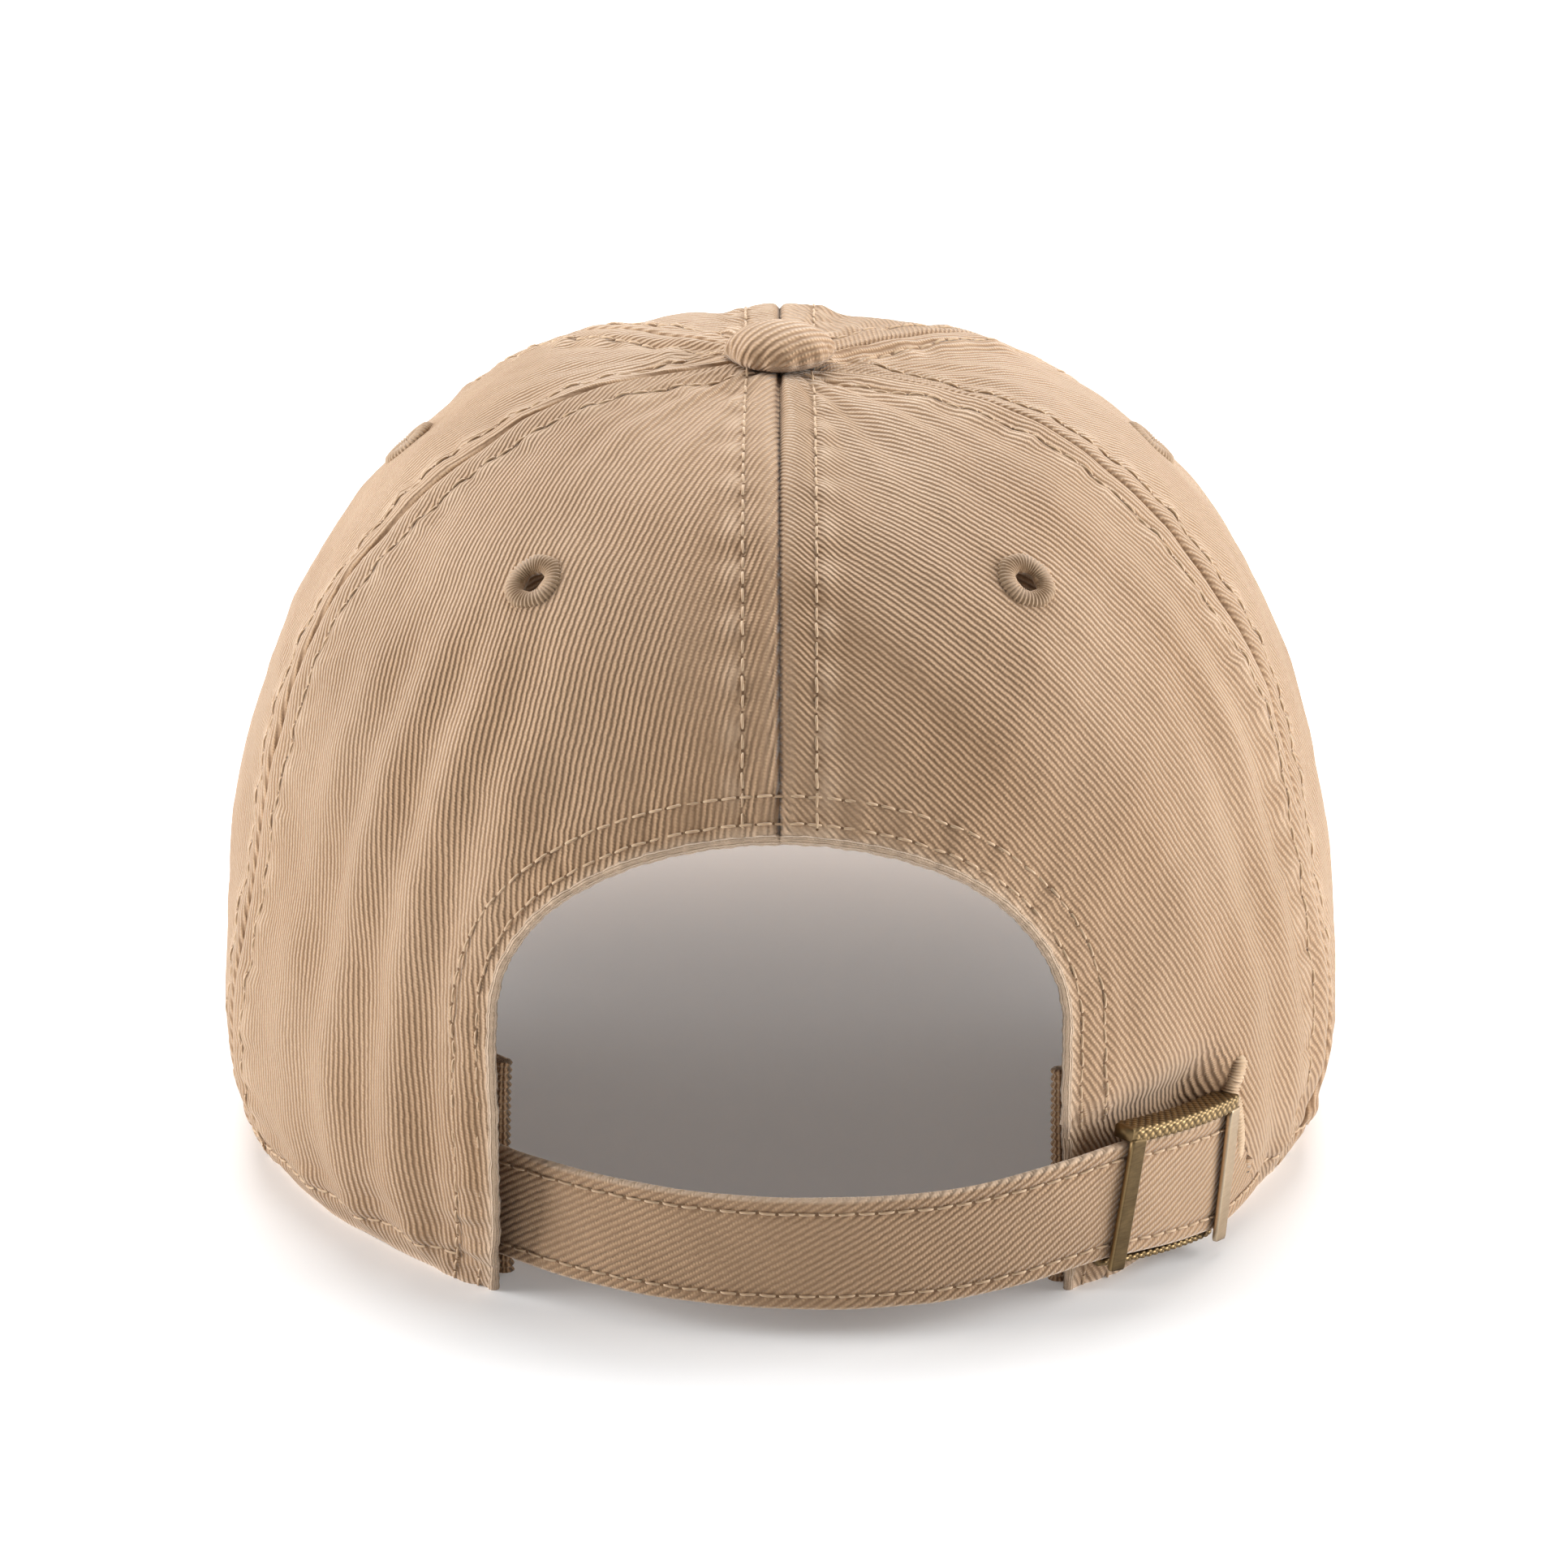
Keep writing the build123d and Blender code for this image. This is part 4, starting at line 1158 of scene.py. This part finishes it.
@dataclass
class Sweatband:
    """Folded band inside the hem: two twill faces over a soft core."""
    form: Crown
    kit: Wardrobe
    half_width: float = 76.4 * MM
    half_length: float = 87.4 * MM
    height: float = 34.0 * MM
    lift: float = 0.4 * MM
    end_left_r: float = 66.2 * MM
    end_right_r: float = 60.0 * MM

    def plan(self, samples: int) -> np.ndarray:
        """Plan of the band's outer face, from its right end round the front to its left end."""
        f = self.form

        def on_arc(radius: float, degrees: float) -> tuple[float, float]:
            a = math.radians(degrees)
            return f.strap_x + radius * math.cos(a), f.strap_y + radius * math.sin(a)
        oval = [(self.half_width * math.cos(math.radians(d)), self.half_length * math.sin(math.radians(d)))
                for d in range(-38, 219, 16)]
        right = [on_arc(self.end_right_r, d) for d in (-54, -50)]
        return smooth_curve(right + oval + [on_arc(self.end_left_r, d) for d in (-141, -137)], samples)

    def wall(self, u: np.ndarray, v: np.ndarray, inset: float) -> tuple[np.ndarray, np.ndarray]:
        """Points and outward normals at u along and v up the band."""
        plan = self.plan(900)
        tangent = unit(np.gradient(plan, axis=0))
        outward = np.stack([tangent[:, 1], -tangent[:, 0]], -1)
        at = u * 899
        index = np.arange(900)
        x, y = (np.interp(at, index, plan[:, k]) for k in (0, 1))
        nx, ny = (np.interp(at, index, outward[:, k]) for k in (0, 1))
        base = self.form.hem(x, y) + self.lift
        bulge = inset - 0.35 * MM * np.sin(np.clip(v, 0, 1) * math.pi) \
            - 0.2 * MM * ripple(x, y, v * 0.03, 0.02, 1.0)
        z = base + v * self.height
        point = np.stack([x - nx * bulge, y - ny * bulge + self.form.axis_y, z], -1)
        return point, np.stack([nx, ny, 0 * nx], -1)

    def layer(self, name: str, node: str, inset: float, thickness: float, material: bpy.types.Material,
              slot: str) -> bpy.types.Object:
        """One layer of the band."""
        obj, u, v = grid(name, 420, 26)
        points, _ = self.wall(1 - u, v, inset)
        points, _ = self.wall(u, v, inset)
        move_to(obj, points)
        long = 0.5
        set_cloth(obj, np.stack([v * self.height * 100, u * long * 100], -1), np.where((v < 0.02) | (v > 0.98), 0.6, 0.1))
        thicken(obj, thickness)
        Piece(obj, material, slot, nodes=(node,)).place()
        return obj

    def build(self) -> None:
        """Build the band's three layers, its ribbed ends and its stitching."""
        length = float(np.linalg.norm(np.diff(self.plan(900), axis=0), axis=-1).sum())
        outer = self.layer("band_cloth_outer", "sweatband_outer_cover", 0.0, 0.5 * MM, self.kit.twill, "sweatband_twill")
        core = self.layer("band_core", "sweatband_core", 0.55 * MM, 0.9 * MM, self.kit.tape, "foam_core")
        inner = self.layer("band_cloth_inner", "sweatband_inner_cover", 1.5 * MM, 0.5 * MM, self.kit.twill,
                           "sweatband_twill")
        for name, at in (("right", 0.0), ("left", 1.0)):
            v = np.linspace(0.01, 1.0, 180)
            path, normal = self.wall(np.full_like(v, at), v, 1.0 * MM)
            ribs = (1.25 + 0.2 * np.sin(v * self.height / (1.15 * MM) * TAU)) * MM
            obj = swept("band_ribbed_end_" + name, round_rings(path, normal, ribs, 14, 1.0))
            Piece(obj, self.kit.twill, "sweatband_twill").place()
        thread = Sewing("stitches_band")
        u = np.linspace(0.004, 0.996, 3000)
        for v, inset, sign in ((0.93, 2.02 * MM, -1), (0.06, 2.02 * MM, -1)):
            point, normal = self.wall(u, np.full_like(u, v), inset)
            thread.row(point, sign * normal)
        Piece(thread.make(), self.kit.thread, "eyelet_thread").place()
        # Dark discs of painted shadow at the stitch ends, in place of the needle holes' shade.
        Piece(thread.painted_hole_shadows(), self.kit.hole_shadow_paint, "twill_shell").place()


@dataclass
class ArcFrame:
    """Places about the strap's vertical axis; the strap climbs a little towards the buckle."""
    form: Crown
    rise_left: float = 1.7 * MM
    rise_buckle: float = 1.9 * MM
    fall: float = 0.12
    lean: float = 0.21
    middle_z: float = 11.8 * MM

    def at(self, radius: np.ndarray, degrees: np.ndarray, z: np.ndarray) -> np.ndarray:
        """Point at a radius, an angle and a height."""
        a = np.radians(degrees)
        degrees = np.asarray(degrees, float)
        past = np.clip(np.radians(degrees + 51.0) * self.form.strap_r, 0.0, 26 * MM)
        leaning = self.lean * smooth(-64.0, -50.0, degrees)
        a = a + leaning * (z - self.middle_z) / self.form.strap_r
        z = z + self.rise_left + self.rise_buckle * smooth(-78.0, -50.0, degrees) - self.fall * past
        radius, a, z = np.broadcast_arrays(radius, a, z)
        return np.stack([self.form.strap_x + radius * np.cos(a),
                         self.form.strap_y + self.form.axis_y + radius * np.sin(a), z], -1)

    def outward(self, degrees: np.ndarray) -> np.ndarray:
        """Outward direction at an angle."""
        a = np.radians(degrees)
        return np.stack([np.cos(a), np.sin(a), 0 * a], -1)


def rounded_section(half_a: float, half_b: float, power: float, around: int) -> tuple[np.ndarray, np.ndarray]:
    """Closed section with rounded corners, anticlockwise."""
    theta = np.linspace(0, TAU, around, endpoint=False)
    c, s = np.cos(theta), np.sin(theta)
    reach = (np.abs(c) ** power + np.abs(s) ** power) ** (-1 / power)
    warp = np.stack([half_a * c * reach, half_b * s * reach], -1)
    dense = np.vstack([warp, warp[:1]])
    return dense[:-1, 0], dense[:-1, 1]


def box_section(half_a: float, half_b: float, corner: float, around: int) -> tuple[np.ndarray, np.ndarray]:
    """Rectangle with rounded corners, evenly stepped, anticlockwise."""
    corners = []
    for sx, sy, start in ((1, 1, 0), (-1, 1, 90), (-1, -1, 180), (1, -1, 270)):
        a = np.radians(np.linspace(start, start + 90, 9))
        corners.append(np.stack([sx * (half_a - corner) + corner * np.cos(a),
                                 sy * (half_b - corner) + corner * np.sin(a)], -1))
    dense = np.vstack(corners + [corners[0][:1]])
    run = np.concatenate([[0.0], np.cumsum(np.linalg.norm(np.diff(dense, axis=0), axis=-1))])
    at = np.arange(around) * run[-1] / around
    return np.interp(at, run, dense[:, 0]), np.interp(at, run, dense[:, 1])


@dataclass
class Strap:
    """Self-fabric adjuster strap, folded and edge-stitched."""
    form: Crown
    kit: Wardrobe
    low_deg: float = -145.0
    high_deg: float = -14.0
    low_z: float = 3.0 * MM
    high_z: float = 20.6 * MM
    thick: float = 1.6 * MM
    edge_row: float = 2.3 * MM

    def build(self) -> None:
        """Build the strap and its stitching."""
        place = ArcFrame(self.form)
        rings, around = 300, 80
        a, b = box_section(self.thick / 2, (self.high_z - self.low_z) / 2, 0.72 * MM, around)
        degrees = np.linspace(self.low_deg, self.high_deg, rings)[:, None]
        mid = (self.low_z + self.high_z) / 2
        run = np.radians(degrees) * self.form.strap_r
        wave = 0.10 * MM * np.sin(run / (6 * MM)) + 0.07 * MM * np.sin(run / (2.3 * MM) + b[None] * 400)
        soft = wave - 0.22 * MM * (bell(np.abs(b), mid - self.low_z - self.edge_row, 0.7 * MM) * (np.abs(a) > 0.6 * MM))[None]
        out = np.sign(a)[None] * soft
        drift = 0.18 * MM * np.sin(run / (15 * MM))
        points = place.at(self.form.strap_r + a[None] + out, degrees, mid + b[None] * (1 + 0 * run) + drift)
        obj = swept("strap_cloth", points)
        flip = np.radians(Cloth.STRAP.value)
        along = np.broadcast_to(run * 100, (rings, around)).ravel()
        up = np.broadcast_to(b[None] * 100, (rings, around)).ravel()
        set_cloth(obj, np.stack([along * math.cos(flip) - up * math.sin(flip),
                                 along * math.sin(flip) + up * math.cos(flip)], -1),
                  np.broadcast_to(0.12 + 0.8 * (np.abs(b) > (mid - self.low_z) * 0.955)[None], (rings, around)).ravel())
        Piece(obj, self.kit.twill, "twill_shell", "strap", ("adjuster_strap",)).place()
        thread = Sewing("stitches_strap")
        turn = np.linspace(self.low_deg + 0.6, self.high_deg - 0.6, 900)
        for z in (self.low_z + self.edge_row, self.high_z - self.edge_row):
            for radius, sign in ((self.form.strap_r + self.thick / 2, 1), (self.form.strap_r - self.thick / 2, -1)):
                run = np.radians(turn) * self.form.strap_r
                path = place.at(radius - sign * 0.05 * MM, turn, z + 0.18 * MM * np.sin(run / (15 * MM)))
                thread.row(path, sign * place.outward(turn))
        Piece(thread.make(), self.kit.thread, "eyelet_thread", "strap").place()
        # Dark discs of painted shadow at the stitch ends, in place of the needle holes' shade.
        Piece(thread.painted_hole_shadows(), self.kit.hole_shadow_paint, "twill_shell", "strap").place()


@dataclass
class Buckle:
    """Slide buckle with two knurled rails and two flat bars, and the loop that holds it."""
    form: Crown
    kit: Wardrobe
    middle: float = -40.0
    span: float = 22.4
    bar: float = 2.4
    low_z: float = 2.7 * MM
    high_z: float = 20.9 * MM
    rail: float = 2.5 * MM

    def knurled_rail(self, name: str, low: float, r_out: float, tall: float) -> None:
        """One rail with a diamond pattern of fine cuts."""
        place = ArcFrame(self.form)
        rings, around = 190, 84
        r_in = 65.6 * MM
        a, b = box_section((r_out - r_in) / 2 - 0.05 * MM, tall / 2 - 0.05 * MM, min(0.55 * MM, 0.4 * tall), around)
        girth = np.concatenate([[0.0], np.cumsum(np.hypot(np.diff(a), np.diff(b)))])
        half = self.span / 2
        degrees = np.linspace(self.middle - half, self.middle + half, rings)[:, None]
        run = np.radians(degrees) * 69 * MM
        wave = np.abs(np.sin(math.pi * (run + girth[None]) / (1.5 * MM))) \
            * np.abs(np.sin(math.pi * (run - girth[None]) / (1.5 * MM)))
        end = smooth(0, 1.1 * MM, np.minimum(run - run[0], run[-1] - run))
        body = 1 - 0.16 * (1 - end)
        size = np.hypot(a, b)[None]
        grow = 1 + (0.24 * MM * (wave ** 0.6 - 1) * end) / size
        points = place.at((r_in + r_out) / 2 + a[None] * grow * body, degrees,
                          low + tall / 2 + b[None] * grow * body)
        obj = swept(name, points)
        value = (0.12 + 0.95 * wave ** 0.8 * end + 0.5 * (1 - end)).astype(np.float32)
        obj.data.attributes.new("rubbed", "FLOAT", "POINT").data.foreach_set("value", value.ravel())
        Piece(obj, self.kit.brass, "antique_brass", "buckle", ("buckle_frame",)).place()

    def flat_bar(self, name: str, low_deg: float, material: bpy.types.Material) -> None:
        """One flat bar over the strap."""
        place = ArcFrame(self.form)
        width = math.radians(self.bar) * 69.8 * MM
        a, b = box_section(0.5 * MM, width / 2, 0.32 * MM, 40)
        z = np.concatenate([[0.0, 0.02], np.linspace(0.06, 0.94, 60), [0.98, 1.0]])
        tall = self.low_z - 1.0 * MM + z * (self.high_z - self.low_z + 1.6 * MM)
        taper = 1 - 0.12 * (z < 0.01) - 0.12 * (z > 0.99)
        turn = low_deg + self.bar / 2 + np.degrees(b[None] * taper[:, None] / (69.8 * MM))
        points = place.at(69.8 * MM + a[None] * taper[:, None], turn, tall[:, None] + 0 * b[None])
        obj = swept(name, points)
        value = np.broadcast_to(0.2 + 0.75 * (np.abs(b) > width * 0.42)[None], points.shape[:2]).astype(np.float32)
        obj.data.attributes.new("rubbed", "FLOAT", "POINT").data.foreach_set("value", value.ravel())
        Piece(obj, material, "antique_brass", "buckle").place()

    def keeper(self) -> None:
        """Short cloth loop behind the strap that carries the centre bar."""
        place = ArcFrame(self.form)
        centre_r, wide = 65.9 * MM, 7.2 * MM
        phi = np.linspace(0.25 * math.pi, 1.9 * math.pi, 60)
        loop_r = 0.98 * MM
        radius = np.concatenate([centre_r + 0.0 * MM + loop_r * np.cos(phi), [64.6 * MM, 62.6 * MM]])
        turn = self.middle + np.degrees(np.concatenate([loop_r * np.sin(phi), [-1.6 * MM, -5.0 * MM]]) / centre_r)
        middle = (self.low_z + self.high_z) / 2
        path = place.at(radius, turn, np.full_like(radius, middle))
        tangent = unit(np.gradient(path, axis=0))
        up = np.array([0.0, 0.0, 1.0])
        side = unit(np.cross(tangent, up))
        a, b = box_section(wide, 0.24 * MM, 0.2 * MM, 28)
        rings = path[:, None] + up * a[None, :, None] + side[:, None] * b[None, :, None]
        obj = swept("buckle_loop_cloth", rings)
        obj.data.attributes.new("worn", "FLOAT", "POINT").data.foreach_set(
            "value", np.full(len(obj.data.vertices), 0.2, np.float32))
        Piece(obj, self.kit.twill, "twill_shell", nodes=("buckle_keeper_loop",)).place()

    def build(self) -> None:
        """Build the buckle."""
        self.knurled_rail("buckle_rail_low", self.low_z - 1.2 * MM, 68.0 * MM, 1.2 * MM)
        self.knurled_rail("buckle_rail_high", self.high_z, 70.3 * MM, self.rail)
        self.flat_bar("buckle_bar_left", self.middle - self.span / 2, self.kit.brass)
        self.flat_bar("buckle_bar_right", self.middle + self.span / 2 - self.bar, self.kit.polished)
        self.keeper()


@dataclass
class TuckSlot:
    """Satin-stitched lips of the slot that the strap's tail goes into."""
    form: Crown
    kit: Wardrobe

    def build(self) -> None:
        """Build the two lips and the bar tack over the slot."""
        f = self.form
        s = np.linspace(0, 1, 260)
        for name, base_deg, top_deg in (("left", -38.6, -38.0), ("right", -35.6, -36.4)):
            angle = np.radians(base_deg + (top_deg - base_deg) * s + 0.25 * np.sin(s * 5))
            t = f.t_at_height((2.8 + 20.2 * s) * MM)
            path, normal = f.frame_at(angle, t, 0.25 * MM)
            rib = (1.05 + 0.15 * np.sin(s * 36 * TAU)) * MM * np.minimum(1, 6 * np.minimum(s, 1 - s) + 0.5)
            obj = swept("slot_lip_" + name, round_rings(path, normal, rib, 12, 0.85))
            Piece(obj, self.kit.satin, "eyelet_thread").place()
        path, normal = f.frame_at(np.radians(-37.4 + 1.1 * s), f.t_at_height((22.0 + 7.0 * s) * MM), 0.1 * MM)
        rib = (1.35 + 0.2 * np.sin(s * 15 * TAU)) * MM * np.minimum(1, 5 * np.minimum(s, 1 - s) + 0.45)
        obj = swept("slot_bar_tack", round_rings(path, normal, rib, 14, 0.8))
        Piece(obj, self.kit.satin, "eyelet_thread").place()


@dataclass
class Studio:
    """Pale floor, soft lights and the camera."""
    form: Crown
    distance: float = 1.35
    elevation: float = 20.0
    aim_z: float = 0.055

    def light(self, name: str, place: tuple, aim: tuple, size: tuple[float, float], power: float) -> None:
        """One soft rectangular light."""
        data = bpy.data.lights.new(name, "AREA")
        data.shape, data.size, data.size_y = "RECTANGLE", size[0], size[1]
        data.energy = power
        obj = bpy.data.objects.new(name, data)
        bpy.context.scene.collection.objects.link(obj)
        way = np.array(aim, float) - np.array(place, float)
        obj.location = place
        flat = math.hypot(way[0], way[1])
        obj.rotation_euler = (math.atan2(flat, -way[2]), 0, math.atan2(-way[0], way[1]))

    def build(self) -> None:
        """Build the studio."""
        bpy.ops.object.select_all(action="DESELECT")
        bpy.ops.mesh.primitive_plane_add(size=7)
        floor = bpy.context.object
        floor.name = floor.data.name = "studio_floor"
        floor.data.materials.append(Plain("studio_white", (0.90, 0.90, 0.905, 1), (0.88, 0.88, 0.885, 1), 3.0, 0.9).make())
        glow = floor.data.materials[0].node_tree.nodes["Principled BSDF"]
        glow.inputs["Emission Color"].default_value = (1.0, 1.0, 1.0, 1.0)
        glow.inputs["Emission Strength"].default_value = 0.09
        world = bpy.data.worlds.new("studio_sky")
        world.use_nodes = True
        back = world.node_tree.nodes["Background"]
        back.inputs[0].default_value = (1.0, 0.995, 0.985, 1)
        back.inputs[1].default_value = 0.20
        seen = world.node_tree.nodes.new("ShaderNodeLightPath")
        level = world.node_tree.nodes.new("ShaderNodeMapRange")
        level.inputs["To Min"].default_value, level.inputs["To Max"].default_value = 0.18, 1.0
        world.node_tree.links.new(seen.outputs["Is Camera Ray"], level.inputs["Value"])
        world.node_tree.links.new(level.outputs["Result"], back.inputs[1])
        bpy.context.scene.world = world
        y = self.form.axis_y
        self.light("soft_left", (-0.95, y - 0.02, 0.32), (0, y, 0.04), (0.8, 0.6), 12.5)
        self.light("soft_right", (0.95, y - 0.02, 0.32), (0, y, 0.04), (0.8, 0.6), 13.5)
        self.light("soft_top", (0, y + 0.65, 1.1), (0, y, 0.06), (1.0, 1.0), 21.0)
        self.light("soft_front", (0, y + 1.1, 0.55), (0, y + 0.1, 0.04), (0.8, 0.5), 3.0)
        self.light("under_visor", (0, y + 0.30, 0.028), (0, y + 0.05, 0.0), (0.13, 0.03), 0.55)
        camera = bpy.data.cameras.new("camera")
        camera.lens, camera.sensor_width = 199.7, 36.0
        camera.shift_x, camera.shift_y = 0.0028, -0.0153
        obj = bpy.data.objects.new("camera", camera)
        up = math.radians(self.elevation)
        obj.location = (0, y - self.distance * math.cos(up), self.aim_z + self.distance * math.sin(up))
        obj.rotation_euler = (math.pi / 2 - up, 0, 0)
        bpy.context.scene.collection.objects.link(obj)
        bpy.context.scene.camera = obj
        bpy.context.scene.view_settings.view_transform = "Standard"


def wardrobe() -> Wardrobe:
    """Returns: every finish, made once."""
    return Wardrobe(
        twill=Twill().make(),
        thread=Thread("seam_thread", srgb(216, 190, 156), srgb(172, 138, 104)).make(),
        satin=Thread("satin_thread", srgb(206, 178, 144), srgb(140, 110, 80), 0.0).make(),
        # Painted shadow: dark brown for the shade in the needle holes, worn by discs over the cloth.
        hole_shadow_paint=Plain("needle_hole_shadow_paint", srgb(126, 96, 70), srgb(104, 78, 54), 900.0, 0.95).make(),
        tape=Plain("tape_cotton", srgb(206, 180, 150), srgb(168, 138, 108), 900.0, 0.9).make(),
        brass=AntiqueBrass().make(),
        polished=AntiqueBrass("polished_brass", srgb(214, 194, 166), srgb(140, 120, 96), 0.24, 1.0).make(),
        steel=Plain("plated_steel", srgb(196, 196, 192), srgb(150, 150, 146), 500.0, 0.35, 1.0).make(),
        board=Plain("visor_board_plastic", srgb(222, 218, 208), srgb(206, 200, 188), 300.0, 0.7).make())


def dress_rigid(kit: Wardrobe) -> None:
    """Better finishes on the frame's own rigid pieces."""
    for node, material in (("button_shell", kit.steel), ("button_rivet", kit.steel), ("button_washer", kit.steel),
                           ("visor_board", kit.board), ("buckle_centre_bar", kit.brass)):
        obj = bpy.data.objects.get(node)
        if obj is None:
            LOG.warning("no frame piece called %s", node)
            continue
        for item in obj.material_slots:
            item.material = material


def main() -> None:
    """Build the cap and its studio."""
    logging.basicConfig(level=logging.INFO)
    low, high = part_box("button_cover")
    form = Crown(axis_y=(low[1] + high[1]) / 2)
    kit = wardrobe()
    for part in (CrownPanels(form, kit), CrownTrim(form, kit), Visor(form, kit), Sweatband(form, kit),
                 Strap(form, kit), Buckle(form, kit), TuckSlot(form, kit), Studio(form)):
        part.build()
    dress_rigid(kit)


if __name__ == "__main__":
    main()
